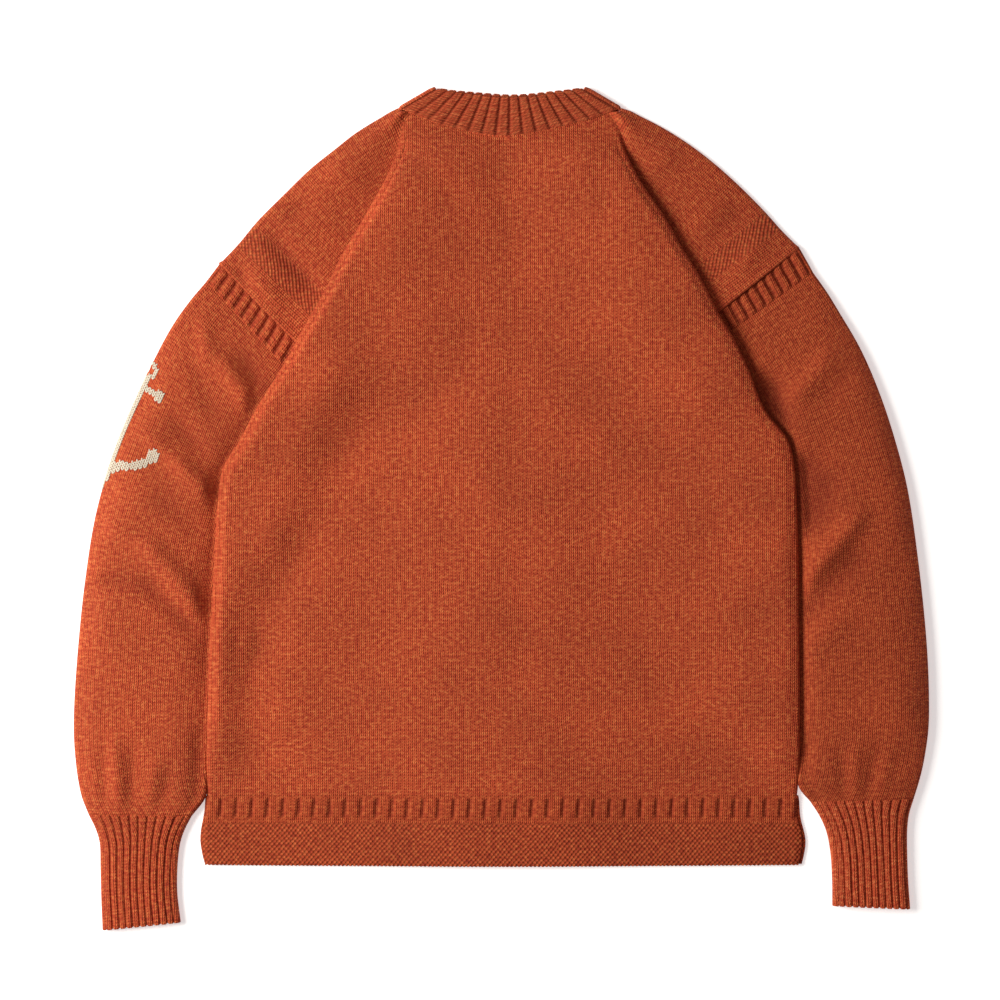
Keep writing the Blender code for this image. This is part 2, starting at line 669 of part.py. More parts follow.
def sleeve_ring(row, side, top_shares, base_steps=2):
    """One closed crossing: flat under side, rolled edges, puffed upper side."""
    outer, inner = np.array(row[0:2]), np.array(row[2:4])
    roll_out, roll_in, puff = row[4:7]
    width = np.linalg.norm(inner - outer)
    along = (inner - outer) / width
    seen = seen_width(outer, inner, side)
    left, right = HALF + roll_out, width - HALF - roll_in
    seen = min(seen - 3.0, right - 1.0)
    points = []
    for n in range(base_steps):
        points.append((right + (left - right) * n / base_steps, HALF))
    for n in range(4):
        turn = math.pi * n / 4
        points.append((left - roll_out * math.sin(turn), HALF + roll_out * (1 - math.cos(turn))))
    for share in top_shares:
        a = left + (seen - left) * share
        z = HALF + 2 * roll_out + 2 * (roll_in - roll_out) * share
        points.append((a, z + puff * (1 - (2 * share - 1) ** 2) ** 0.8))
    points.append((right, HALF + 2 * roll_in))
    for n in range(1, 4):
        turn = math.pi * n / 4
        points.append((right + roll_in * math.sin(turn), HALF + roll_in * (1 + math.cos(turn))))
    return [(*(outer + along * a), z) for a, z in points]


def build_tube(name, table, side, top_shares, high, rib, material, rib_rows, gap=0.0):
    """Closed tube of cloth through sleeve crossings, with ribs raised on its upper side."""
    middle = [sleeve_ring(row, side, top_shares) for row in table]
    middle = np.array(middle)
    if gap:
        run = middle[1] - middle[0]
        run[:, 2] = 0.0
        middle[0] = middle[0] + run / np.linalg.norm(run, axis=1, keepdims=True) * gap
    relief = np.zeros(middle.shape[:2])
    for row, level in enumerate(rib_rows):
        relief[row, 6:6 + len(top_shares)] = high * rib * level
    return cloth_wall(name, middle, material, relief=relief, closed=True)


def build_sleeves():
    plain = np.array([0.0, 0.06, 0.16, 0.3, 0.48, 0.66, 0.82, 0.93, 1.0])
    ribs, high = rib_phase(9)
    for side, word in ((-1, "left"), (1, "right")):
        sleeve = LEFT_SLEEVE if side < 0 else RIGHT_SLEEVE
        head = LEFT_HEAD if side < 0 else RIGHT_HEAD
        cuff = LEFT_CUFF if side < 0 else RIGHT_CUFF
        build_tube(f"sleeve_head_{word}", head, side, ribs, high, 1.1, WOOL,
                   [0.0, 1.0, 1.0, 0.0], 0.7)
        build_tube(f"sleeve_{word}", sleeve, side, plain, np.zeros(len(plain)), 0.0, WOOL,
                   [0.0] * len(sleeve), 0.6)
        cuff_shares, cuff_high = rib_phase(10)
        build_tube(f"cuff_{word}", cuff, side, cuff_shares, cuff_high, 1.0, RIB_WOOL,
                   [0.5, 1.0, 1.0, 1.0, 1.0, 0.7], 0.6)


def build_band(name, low, high, bottom, top):
    """Front band: a flat strip with its corners eased."""
    left, right = CENTRE - BAND_HALF, CENTRE + BAND_HALF
    corners = [(left, bottom), (right, bottom), (right, top), (left, top)]
    vertices = [(x, y, low) for x, y in corners] + [(x, y, high) for x, y in corners]
    faces = [(0, 1, 2, 3), (4, 5, 6, 7), (0, 1, 5, 4), (1, 2, 6, 5), (2, 3, 7, 6), (3, 0, 4, 7)]
    faces[0] = faces[0][::-1]
    return add_body(name, vertices, faces, RIB_WOOL)


def lathe(name, profile, x, y, steps, material):
    """Turned body about an upright axis; the profile starts and ends on the axis."""
    vertices, faces = [(x, y, profile[0][1])], []
    for radius, height in profile[1:-1]:
        for n in range(steps):
            turn = 2 * math.pi * n / steps
            vertices.append((x + radius * math.cos(turn), y + radius * math.sin(turn), height))
    vertices.append((x, y, profile[-1][1]))
    last = len(vertices) - 1
    rings = len(profile) - 2
    for n in range(steps):
        m = (n + 1) % steps
        faces.append((0, 1 + m, 1 + n))
        for ring in range(rings - 1):
            a, b = 1 + ring * steps, 1 + (ring + 1) * steps
            faces.append((a + n, a + m, b + m, b + n))
        end = 1 + (rings - 1) * steps
        faces.append((end + n, end + m, last))
    return add_body(name, vertices, faces, material)


def cut(body, tool):
    """Takes the tool's shape out of the body."""
    step = body.modifiers.new("cut", "BOOLEAN")
    step.operation = "DIFFERENCE"
    step.solver = "EXACT"
    step.object = tool
    bpy.context.view_layer.update()
    graph = bpy.context.evaluated_depsgraph_get()
    mesh = bpy.data.meshes.new_from_object(body.evaluated_get(graph))
    body.modifiers.clear()
    body.data = mesh
    bpy.data.objects.remove(tool)


def build_bands():
    outer = build_band("band_left", 0.0, 4.0, -311.6, 305.6)
    build_band("band_right", LAP, LAP + THICK, -311.6, 305.6)
    recess = [(0.0, -3.0), (10.7, -3.0), (10.7, 2.5), (0.0, 2.5)]
    button = [(0.0, 0.6), (5.6, 0.6), (7.2, 0.0), (9.0, 0.0), (10.0, 0.7), (10.0, 1.5),
              (9.2, 2.1), (0.0, 2.1)]
    for n in range(6):
        y = 282.0 - 112.0 * n
        cut(outer, lathe("recess", recess, CENTRE, y, 16, HORN))
        lathe(f"button_{n + 1}", button, CENTRE, y, 14, HORN)


def main():
    for thing in list(bpy.data.objects):
        bpy.data.objects.remove(thing)
    build_back()
    build_front(-1)
    build_front(1)
    build_back_welt()
    build_front_welt(-1)
    build_front_welt(1)
    build_neckband()
    build_sleeves()
    build_bands()


main()
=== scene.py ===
# %% [markdown]
# # A fisherman cardigan, laid face down
# The real garment is a heavy five-ply wool cardigan, knitted in one plain stitch with
# ribbed neck and cuffs, a ladder rib over a garter welt at the hem, and a small
# seed-stitch strip beside each armhole. It lies on a flat surface, so every piece is
# a thin wall of cloth on another one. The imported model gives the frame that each
# visible piece is fitted to.

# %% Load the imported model
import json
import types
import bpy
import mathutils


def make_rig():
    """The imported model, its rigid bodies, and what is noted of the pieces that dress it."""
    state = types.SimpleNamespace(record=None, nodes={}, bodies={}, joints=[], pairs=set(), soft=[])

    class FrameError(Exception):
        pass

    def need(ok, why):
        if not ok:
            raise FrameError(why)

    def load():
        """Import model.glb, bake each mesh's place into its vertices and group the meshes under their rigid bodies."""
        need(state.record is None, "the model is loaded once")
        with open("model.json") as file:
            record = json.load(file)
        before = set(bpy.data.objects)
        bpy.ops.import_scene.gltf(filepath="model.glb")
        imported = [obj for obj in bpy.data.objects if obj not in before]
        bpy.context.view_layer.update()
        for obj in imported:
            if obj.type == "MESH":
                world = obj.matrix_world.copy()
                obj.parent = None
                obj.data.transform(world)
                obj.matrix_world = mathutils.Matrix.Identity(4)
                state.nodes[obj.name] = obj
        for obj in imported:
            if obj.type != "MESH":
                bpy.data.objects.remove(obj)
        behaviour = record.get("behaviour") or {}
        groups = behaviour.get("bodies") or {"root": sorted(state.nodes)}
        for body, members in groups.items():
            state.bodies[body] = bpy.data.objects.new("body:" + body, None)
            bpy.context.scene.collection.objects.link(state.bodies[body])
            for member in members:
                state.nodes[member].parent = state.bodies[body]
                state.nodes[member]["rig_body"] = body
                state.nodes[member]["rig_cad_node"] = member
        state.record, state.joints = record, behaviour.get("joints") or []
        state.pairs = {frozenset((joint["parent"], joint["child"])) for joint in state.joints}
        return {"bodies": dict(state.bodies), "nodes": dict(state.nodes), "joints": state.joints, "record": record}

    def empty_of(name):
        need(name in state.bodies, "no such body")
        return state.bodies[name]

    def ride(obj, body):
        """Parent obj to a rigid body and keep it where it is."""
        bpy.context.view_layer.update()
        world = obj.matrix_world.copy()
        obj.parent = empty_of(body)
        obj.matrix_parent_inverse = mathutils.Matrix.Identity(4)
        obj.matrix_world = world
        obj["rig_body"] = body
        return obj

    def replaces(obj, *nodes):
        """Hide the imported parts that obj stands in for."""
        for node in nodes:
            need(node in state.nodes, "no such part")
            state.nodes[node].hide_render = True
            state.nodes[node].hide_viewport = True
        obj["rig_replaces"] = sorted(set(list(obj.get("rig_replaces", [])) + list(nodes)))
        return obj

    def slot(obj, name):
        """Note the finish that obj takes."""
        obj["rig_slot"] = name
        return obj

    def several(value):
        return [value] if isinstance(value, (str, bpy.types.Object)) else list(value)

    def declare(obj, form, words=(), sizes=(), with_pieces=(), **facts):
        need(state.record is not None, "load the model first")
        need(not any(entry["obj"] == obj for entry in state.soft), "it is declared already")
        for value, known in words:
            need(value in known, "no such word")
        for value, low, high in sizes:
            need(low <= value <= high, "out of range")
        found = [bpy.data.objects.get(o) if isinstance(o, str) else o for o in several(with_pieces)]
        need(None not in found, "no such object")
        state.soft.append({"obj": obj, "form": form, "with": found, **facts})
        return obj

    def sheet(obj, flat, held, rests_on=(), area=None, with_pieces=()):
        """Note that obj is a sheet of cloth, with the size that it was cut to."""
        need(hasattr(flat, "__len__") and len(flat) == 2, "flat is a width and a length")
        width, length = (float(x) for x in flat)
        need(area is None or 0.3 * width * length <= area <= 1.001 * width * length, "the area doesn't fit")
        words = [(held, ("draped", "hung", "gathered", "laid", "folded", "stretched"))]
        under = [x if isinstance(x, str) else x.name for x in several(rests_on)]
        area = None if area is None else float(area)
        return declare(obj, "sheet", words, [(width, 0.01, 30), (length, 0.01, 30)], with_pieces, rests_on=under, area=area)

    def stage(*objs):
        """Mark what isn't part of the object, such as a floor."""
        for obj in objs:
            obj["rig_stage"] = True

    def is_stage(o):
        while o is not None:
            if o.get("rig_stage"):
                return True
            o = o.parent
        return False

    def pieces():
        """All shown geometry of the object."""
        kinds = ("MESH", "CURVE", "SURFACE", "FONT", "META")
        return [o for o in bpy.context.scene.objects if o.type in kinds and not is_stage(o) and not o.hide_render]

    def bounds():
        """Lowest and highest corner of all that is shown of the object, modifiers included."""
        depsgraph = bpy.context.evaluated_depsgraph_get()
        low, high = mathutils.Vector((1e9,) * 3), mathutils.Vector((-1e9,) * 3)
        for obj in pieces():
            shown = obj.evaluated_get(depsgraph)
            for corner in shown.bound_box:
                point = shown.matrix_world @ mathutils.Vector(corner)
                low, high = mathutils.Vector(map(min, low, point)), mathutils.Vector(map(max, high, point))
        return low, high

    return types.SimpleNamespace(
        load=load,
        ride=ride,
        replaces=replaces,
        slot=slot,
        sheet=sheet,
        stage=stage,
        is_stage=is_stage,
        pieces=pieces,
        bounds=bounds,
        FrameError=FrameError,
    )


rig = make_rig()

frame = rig.load()
import json
import math

import bpy
import numpy as np

cad_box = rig.bounds()
print("nodes", len(frame["nodes"]), "box", [round(v, 4) for v in cad_box[1]])

# %% [markdown]
# ## Sizes
# All sizes below are millimetres. This knitting is 2.4 mm thick, two layers lie 3.2 mm
# apart, middle to middle, and neighbours keep 0.3 mm between them at a seam. A wale is
# one column of stitches and a course is one row. Both were counted on the photograph,
# and they give the scale of everything else.

# %% Sizes of wall, stitch, bands and rolls
THICK, PITCH, SEAM = 2.4, 3.2, 0.3
HALF = THICK / 2
FLOOR_MID, BACK_MID = HALF, HALF + PITCH
WALE, COURSE = 3.44, 2.6
CENTRE, BAND_HALF, LAP = 4.0, 16.0, 4.4
EDGE_ROLL, PLEAT_ROLL, TUCK_ROLL, NECK_ROLL, FRONT_ROLL = 3.2, 4.8, 1.6, 2.1, 2.2
# Spacing of rows where the camera looks and where it doesn't, and the values of the
# mark that tells plain from seed stitch.
FINE_ROWS, COARSE_ROWS = 3.4, 5.5
PLAIN, BEADED = -9.0, 0.5
print("stitches to the inch:", round(25.4 / WALE, 1))

# %% [markdown]
# ## Light and camera
# The garment was photographed from straight above on white, with soft light from one
# side: left folds shine and right folds hold a shadow. One broad area light at the left
# does that. A weak one overhead and a dim warm world fill the shadows, as light that
# has met red wool does. The camera looks straight down from three metres, so a long
# lens frames 875 mm. Fabric colours are measured in sRGB, so the picture is shown with
# the plain sRGB transform.

# %% Helpers for colour and aim
scene = bpy.context.scene
scene.view_settings.view_transform = "Standard"


def linear(text):
    """Turns an sRGB hex colour to linear: power 2.4 above the short straight part."""
    values = np.array([int(text[n:n + 2], 16) / 255 for n in (1, 3, 5)])
    low, high = values / 12.92, ((values + 0.055) / 1.055) ** 2.4
    return (*np.where(values <= 0.04045, low, high).tolist(), 1.0)


def aim(thing, spot, target):
    """Places a camera or light at a spot and turns its minus Z to a target."""
    from mathutils import Vector
    thing.location = spot
    turn = (Vector(target) - Vector(spot)).to_track_quat("-Z", "Y")
    thing.rotation_euler = turn.to_euler()
    scene.collection.objects.link(thing)


# %% Camera and lights
CAMERA_X, CAMERA_Y, CAMERA_HIGH, LENS = -0.0013, 0.007, 3.01, 123.4
camera = bpy.data.objects.new("camera", bpy.data.cameras.new("camera"))
camera.data.lens, camera.data.sensor_width = LENS, 36.0
aim(camera, (CAMERA_X, CAMERA_Y, CAMERA_HIGH), (CAMERA_X, CAMERA_Y, 0.0))
scene.camera = camera
for name, spot, size, power, tint in (
        ("window", (-1.78, 0.25, 1.46), 1.2, 74.0, (1.0, 0.99, 0.93)),
        ("ceiling", (-0.3, 0.3, 2.6), 2.4, 4.0, (1.0, 1.0, 1.0))):
    light = bpy.data.lights.new(name, "AREA")
    light.size, light.energy, light.color = size, power, tint
    aim(bpy.data.objects.new(name, light), spot, (0.0, 0.0, 0.0))
world = bpy.data.worlds.new("warm_room")
world.use_nodes = True
room = world.node_tree.nodes["Background"].inputs
room["Color"].default_value, room["Strength"].default_value = (1.0, 0.76, 0.74, 1), 0.18
scene.world = world
print("camera", tuple(round(v, 3) for v in camera.location), "lens", camera.data.lens)

# %% [markdown]
# ## Tables of the body
# A row of these tables is one course of the knitting, from the neck down: where the
# course crosses the centre line, the pleat beside the shoulder and the outline of the
# shoulder. They could be traced as curves, but rows in a table let back and fronts
# share one set of numbers.

# %% Rows from the neck to the underarm
# Centre height, pleat edge left and right, shoulder outline left and right, turn of
# the pleat in degrees, depth of the tuck.
PLEAT_ROWS = [
    # centre_y, left_x, left_y, right_x, right_y, out_lx, out_ly, out_rx, out_ry, turn, tuck
    (325.3, -79.0, 345.7, 93.0, 345.5, -90.6, 350.9, 105.4, 350.9, 10, 1.0),
    (317.0, -86.0, 331.0, 102.0, 331.0, -97.5, 347.6, 113.0, 348.4, 25, 1.5),
    (306.0, -90.5, 314.0, 107.6, 315.5, -105.5, 342.9, 122.0, 343.9, 65, 2.0),
    (299.5, -93.3, 306.6, 110.2, 309.0, -111.0, 339.7, 127.4, 341.2, 90, 2.0),
    (293.0, -96.5, 299.0, 113.2, 302.0, -116.5, 336.4, 133.0, 338.4, 115, 2.0),
    (278.5, -103.5, 284.0, 121.4, 286.0, -129.5, 328.0, 146.5, 330.9, 155, 2.5),
    (262.0, -112.5, 268.0, 131.5, 271.2, -146.5, 314.6, 165.0, 319.0, 180, 6.0),
    (243.0, -125.6, 245.0, 143.9, 252.9, -167.5, 297.8, 186.0, 303.0, 180, 11.0),
    (221.0, -140.4, 219.8, 157.1, 229.2, -190.0, 276.0, 208.0, 283.4, 180, 17.0),
    (199.0, -154.2, 191.0, 169.3, 210.0, -214.0, 251.9, 230.2, 261.1, 180, 21.0),
    (178.0, -167.0, 168.6, 179.5, 191.4, -230.9, 231.6, 246.5, 243.0, 180, 25.0),
    (158.0, -179.8, 145.2, 189.4, 171.5, -247.2, 214.4, 261.2, 228.4, 180, 29.0),
]
print("pleat rows:", len(PLEAT_ROWS))

# %% Rows from the underarm to the hem
# Centre height, side edge left and right.
SIDE_ROWS = [
    # centre_y, left_x, left_y, right_x, right_y
    (138.0, -186.0, 133.0, 200.6, 152.6),
    (114.0, -197.4, 114.4, 215.0, 123.6),
    (85.0, -214.6, 86.6, 230.6, 85.6),
    (58.0, -230.4, 57.2, 250.6, 59.6),
    (34.0, -244.0, 34.4, 256.6, 36.0),
    (0.0, -248.9, 0.0, 258.8, 0.0),
    (-48.0, -251.7, -48.0, 260.2, -48.0),
    (-98.0, -254.2, -98.0, 260.6, -98.0),
    (-148.0, -256.6, -148.0, 261.1, -148.0),
    (-196.0, -257.8, -196.0, 261.3, -196.0),
    (-214.0, -258.3, -214.0, 261.3, -214.0),
    (-233.0, -258.7, -233.0, 261.0, -233.0),
    (-252.6, -258.7, -252.6, 259.4, -252.6),
]

# Below the underarm the side lies on the sleeve: how high, and how far in.
SIDE_REST = [
    # y, lift, level
    (112.0, 12.8, 50.0),
    (70.0, 9.8, 41.0),
    (20.0, 6.8, 36.0),
    (-70.0, 6.8, 32.0),
    (-130.0, 6.8, 29.0),
    (-176.0, 6.8, 21.0),
    (-202.0, 6.8, 12.0),
    (-213.0, 6.5, 9.0),
    (-232.0, 2.6, 8.0),
    (-250.0, 0.0, 8.0),
    (-320.0, 0.0, 8.0),
]
print("side rows:", len(SIDE_ROWS))

# %% [markdown]
# ## Rules for the cloth's height
# The back lies on the fronts, and where it covers a tuck or a sleeve it rises. These
# functions give that height anywhere in plan, so every piece that lies on the body
# can ask for it. Simulation could find it too, but a formula keeps 0.3 mm seams.

# %% Easing and directions
def smooth(t):
    """Eases from 0 to 1 with flat ends: three t squared minus two t cubed."""
    t = np.clip(t, 0.0, 1.0)
    return t * t * (3.0 - 2.0 * t)


def unit(vectors):
    """Each vector divided by its length."""
    vectors = np.asarray(vectors, float)
    return vectors / np.maximum(np.linalg.norm(vectors, axis=-1, keepdims=True), 1e-9)


# %% Profile of each side
def pleat_radii(turn):
    """Rolls at the pleat's edge and hidden fold: wide where the cloth turns little."""
    return np.maximum(PLEAT_ROLL, 3.0 / turn), np.maximum(TUCK_ROLL, 1.5 / turn)


def pleat_drop(turn, tuck):
    """Height above the shoulder layer: both radii times one minus cosine, plus the tuck."""
    edge, hidden = pleat_radii(turn)
    return (edge + hidden) * (1.0 - np.cos(turn)) + tuck * np.sin(turn)


def side_profile(side):
    """Edge position, lift and level width against height y, for one side of the body."""
    pleats, first = np.array(PLEAT_ROWS), 1 if side < 0 else 3
    xy = [np.array(table)[:, first:first + 2] for table in (SIDE_ROWS, PLEAT_ROWS)]
    xy = np.concatenate(xy)
    xy = xy[np.argsort(xy[:, 1])]
    drop = pleat_drop(np.radians(pleats[:, 9]), pleats[:, 10])
    top = np.stack([pleats[:, first + 1], drop, 12.0 + 1.3 * pleats[:, 10]], axis=1)
    table = np.concatenate([top, np.array(SIDE_REST)])
    table = table[np.argsort(table[:, 0])]
    return xy[:, 1], np.abs(xy[:, 0]), table[:, 0], table[:, 1], table[:, 2]


PROFILE = {-1: side_profile(-1), 1: side_profile(1)}
print("highest lift beside the shoulder:", round(float(PROFILE[-1][3].max()), 1), "mm")


# %% Height of the back and the fronts
def lift(x, y, late=0.0, least=25.0, slope=3.7):
    """Rise toward the sides: the profile's height, eased in over slope times that height."""
    total = 0.0
    for side in (-1, 1):
        edge_y, edge_x, ys, tops, levels = PROFILE[side]
        top, level = np.interp(y, ys, tops), np.interp(y, ys, levels)
        ramp = np.maximum(least, slope * top)
        inside = np.interp(y, edge_y, edge_x) - side * x
        total = total + top * smooth((level + ramp - late - inside) / ramp)
    return total


def neck_ease(y):
    """The back lies one millimetre higher above the fronts toward the neck."""
    return smooth((y - 311.0) / 19.0)


def back_z(x, y):
    """Middle height of the back: base, neck ease, lift, and the lap of the bands.

    Heavy wool bridges what it lies on, so its ramps are far longer than its supports:
    the lift eases in over nine times its height, the lap fades over 120 mm.
    """
    across = 1.0 - smooth((np.abs(x - CENTRE) - 18.5) / 120.0)
    swell = LAP * across * (1.0 - smooth((y - 312.0) / 24.0))
    high = smooth((y + 262.0) / 120.0)
    rise = lift(x, y, 0.0, 25.0 + 85.0 * high, 3.7 + 5.3 * high)
    return BACK_MID + neck_ease(y) + rise + swell


def front_z(x, y):
    """Middle height of a front: the floor, the lift, and the step onto the lower band."""
    step = 1.0 - smooth((x - CENTRE - 18.5) / 30.0)
    return FLOOR_MID + lift(x, y, 3.0) + np.where(x > CENTRE, LAP * step, 0.0)


print("lift at the left edge, y = 0:", round(float(lift(-248.0, 0.0)), 2), "mm")

# %% [markdown]
# Real cloth is never level. It swells where it is doubled, it wavers a little where a
# hand smoothed it, and it keeps a few soft folds. Each of the three is one formula that
# adds to the height, so that strength and place stay easy to change.

# %% Swell, unevenness and folds
def crown(x, y):
    """The back swells just inside each side edge, where it is folded double beneath."""
    total, fall = 0.0, 34.0 + 34.0 * smooth((y + 130.0) / 160.0)
    for side, high in ((-1, 4.4), (1, 1.6)):
        inside = np.interp(y, *PROFILE[side][:2]) - side * x
        hump = smooth(inside / 8.0) * (1.0 - smooth((inside - 5.0) / fall))
        total = total + high * hump
    return total * smooth((y + 240.0) / 90.0) * smooth((338.0 - y) / 60.0)


def ripple(x, y, seed=0.0):
    """Soft hand-laid unevenness, about 1 mm: three slanted waves 90 to 170 mm long."""
    wave = np.sin(x / 17.0 + y / 31.0 + seed) + np.sin(x / 26.0 - y / 15.0 + 2.0 * seed)
    return 0.34 * (wave + np.sin(x / 41.0 + y / 22.0 + 3.0 * seed + 1.0))


def folds(x, y, lines):
    """Laid folds: each line's height times a bell of the distance, faded at its ends."""
    total = 0.0
    for ax, ay, bx, by, high, wide in lines:
        reach = math.hypot(bx - ax, by - ay)
        along = ((x - ax) * (bx - ax) + (y - ay) * (by - ay)) / reach
        apart = ((y - ay) * (bx - ax) - (x - ax) * (by - ay)) / reach
        ends = smooth((along + 18.0) / 30.0) * smooth((reach + 18.0 - along) / 30.0)
        total = total + high * np.exp(-(apart / wide) ** 2) * ends
    return total


print("crown near the left edge:", round(float(crown(-240.0, 0.0)), 2), "mm")

# %% [markdown]
# ## Turning a grid into cloth
# A knitted wall has a face, a back and round edges. Each piece is a grid of middle
# points; the wall goes half its thickness to both sides along the normal, and three
# rings round every free edge. Solidify could do the thickness, but here each side
# gets its own offset, which raises ribs on the face alone.

# %% Curves through a table
def spline(rows, steps):
    """Points on a centripetal Catmull-Rom curve through the rows of a table or grid.

    Knots lie the square root of the distance apart. A point between two rows blends
    lines through four neighbours, three times over.
    """
    rows = np.asarray(rows, float)
    line = np.concatenate([2 * rows[:1] - rows[1:2], rows, 2 * rows[-1:] - rows[-2:-1]])
    gaps = np.linalg.norm(np.diff(line, axis=0), axis=-1, keepdims=True)
    gaps = np.sqrt(np.maximum(gaps, 1e-4))
    parts = []
    for i, count in enumerate(steps):
        p0, p1, p2, p3 = line[i:i + 4]
        t1, t2, t3 = np.cumsum(gaps[i:i + 3], axis=0)
        share = (np.arange(count) / count).reshape((-1,) + (1,) * (rows.ndim - 1))
        t = t1 + (t2 - t1) * share
        a1 = p0 + (p1 - p0) * t / t1
        a2 = p1 + (p2 - p1) * (t - t1) / (t2 - t1)
        a3 = p2 + (p3 - p2) * (t - t2) / (t3 - t2)
        b1 = a1 + (a2 - a1) * t / t2
        b2 = a2 + (a3 - a2) * (t - t1) / (t3 - t1)
        parts.append(b1 + (b2 - b1) * (t - t1) / (t2 - t1))
    return np.concatenate(parts + [rows[-1:]])


def path_at(table, shares):
    """Points along a smooth curve through a table, at shares of its length."""
    fine = spline(table, [24] * (len(table) - 1))
    reach = np.concatenate([[0.0], np.cumsum(np.linalg.norm(np.diff(fine, axis=0), axis=1))])
    return np.stack([np.interp(shares, reach / reach[-1], column) for column in fine.T], 1)


def travel(points, axis):
    """Distance travelled along one axis of a grid, from its first point."""
    steps = np.linalg.norm(np.diff(points, axis=axis), axis=-1)
    pad = [(0, 0), (0, 0)]
    pad[axis] = (1, 0)
    return np.cumsum(np.pad(steps, pad), axis=axis)


# %% Cells of a grid
def corners(grid, closed):
    """The four corner values of every cell: near, next column, diagonal, next row."""
    right = np.roll(grid, -1, axis=1) if closed else grid[:, 1:]
    left = grid if closed else grid[:, :-1]
    return left[:-1], right[:-1], right[1:], left[1:]


def gather(cells, shape, closed):
    """Adds each cell's value to its four corners."""
    total = np.zeros(shape)
    if closed:
        for part in (cells, np.roll(cells, 1, axis=1)):
            total[:-1] += part
            total[1:] += part
    else:
        for rows in (slice(None, -1), slice(1, None)):
            total[rows, :-1] += cells
            total[rows, 1:] += cells
    return total


# %% Meshes from points in millimetres
pieces, sheets = {}, {}
ABOVE_FLOOR = 0.02


def make(name, points, faces):
    """A smooth mesh object that sits at the origin, with its place in its points."""
    mesh = bpy.data.meshes.new(name)
    mesh.from_pydata((points.reshape(-1, 3) / 1000).tolist(), [], faces)
    mesh.update()
    mesh.shade_smooth()
    pieces[name] = bpy.data.objects.new(name, mesh)
    scene.collection.objects.link(pieces[name])
    return mesh


# %% The wall of a piece
def wall_layers(middle, normals, away, over, under, round_edge):
    """Five layers of points: the face, three edge rings and the back.

    The face is the middle plus the normal times over, the back minus the normal times
    under. Edge rings follow a half ellipse: cosine toward the face, sine outward.
    """
    layers = [middle + normals * over]
    for turn in np.radians((45.0, 90.0, 135.0)):
        deep = np.where(np.cos(turn) > 0, over, under)
        layers.append(middle + normals * deep * np.cos(turn) + away * round_edge * np.sin(turn))
    return layers + [middle - normals * under]


def wall_faces(keep, shape, closed, face_up):
    """Quads of both sides of the wall, and of four strips along every free edge."""
    size = shape[0] * shape[1]
    parts = corners(np.arange(size).reshape(shape), closed)
    sheet = np.stack([part[keep] for part in parts], axis=1)
    sheet = sheet[:, ::-1] if face_up else sheet
    faces = [sheet, sheet[:, ::-1] + 4 * size]
    beyond = np.pad(keep, 1)
    if closed:
        beyond[1:-1, 0], beyond[1:-1, -1] = keep[:, -1], keep[:, 0]
    others = beyond[:-2, 1:-1], beyond[1:-1, 2:], beyond[2:, 1:-1], beyond[1:-1, :-2]
    for start, end, other in zip(parts, parts[1:] + parts[:1], others):
        free = keep & ~other
        first, second = (end[free], start[free]) if face_up else (start[free], end[free])
        for layer in range(4):
            low, high = layer * size, (layer + 1) * size
            faces.append(np.stack([second + low, first + low, first + high, second + high], 1))
    return np.concatenate(faces)


# %% A piece of cloth
def cloth(name, middle, uv, keep=None, over=HALF, under=HALF, closed=False, round_edge=0.8,
          **marks):
    """Thickens a grid of middle points into one closed wall, with its marks and its cut.

    A normal is the mean of the cross products of the cells round its point. Away points
    from the mean of those cells' centres to the point, level with the wall.
    """
    rows, cols = shape = middle.shape[:2]
    near, beside, diagonal, below = corners(middle, closed)
    keep = np.ones(near.shape[:2], bool) if keep is None else keep
    cells = np.cross(diagonal - near, beside - below)
    area = float((np.linalg.norm(cells, axis=-1) * keep).sum() / 2)
    normals = unit(gather(unit(cells) * keep[..., None], middle.shape, closed))
    if closed:
        sign = np.sign(((middle - middle.mean(axis=1, keepdims=True)) * normals).sum())
    else:
        sign = np.sign(normals[rows // 2, cols // 2, 2])
    normals = normals * sign
    count = gather(keep.astype(float)[..., None], (rows, cols, 1), closed)
    centres = (near + beside + diagonal + below) / 4 * keep[..., None]
    away = middle * count - gather(centres, middle.shape, closed)
    away = unit(away - normals * (away * normals).sum(axis=-1, keepdims=True))
    over, under = (np.broadcast_to(np.asarray(deep, float), shape)[..., None]
                   for deep in (over, under))
    layers = wall_layers(middle, normals, away, over, under, round_edge)
    used, faces = np.unique(wall_faces(keep, shape, closed, sign > 0), return_inverse=True)
    faces = faces.reshape(-1, 4)
    points = np.concatenate([layer.reshape(-1, 3) for layer in layers])[used]
    points[:, 2] = np.maximum(points[:, 2], ABOVE_FLOOR)
    mesh = make(name, points, faces.tolist())
    flat = np.tile(uv.reshape(-1, 2), (5, 1))[used]
    mesh.uv_layers.new(name="knit").data.foreach_set("uv", flat[faces].ravel())
    for mark, values in marks.items():
        values = np.broadcast_to(np.asarray(values, float), shape)
        values = np.tile(values.reshape(-1), 5)[used]
        mesh.attributes.new(mark, "FLOAT", "POINT").data.foreach_set("value", values)
    width = (np.linalg.norm(beside - near, axis=-1) * keep).sum(axis=1).max() / 1000
    length = (np.linalg.norm(below - near, axis=-1) * keep).sum(axis=0).max() / 1000
    sheets[name] = (width, length, min(area / 1e6, width * length))
    print(f"{name}: {2 * len(faces)} triangles, cut {width:.3f} x {length:.3f} m, "
          f"{area / 1e6:.4f} m2")


# %% [markdown]
# ## Back and fronts
# The back is one panel. Beside each shoulder it is folded over itself, so the body
# lies on the shoulder in a soft pleat, and the shoulder shows beyond it. Each row
# goes from the centre out, round the pleat, back in, and out again to the shoulder's
# outline. The fronts follow the same rows one layer lower.

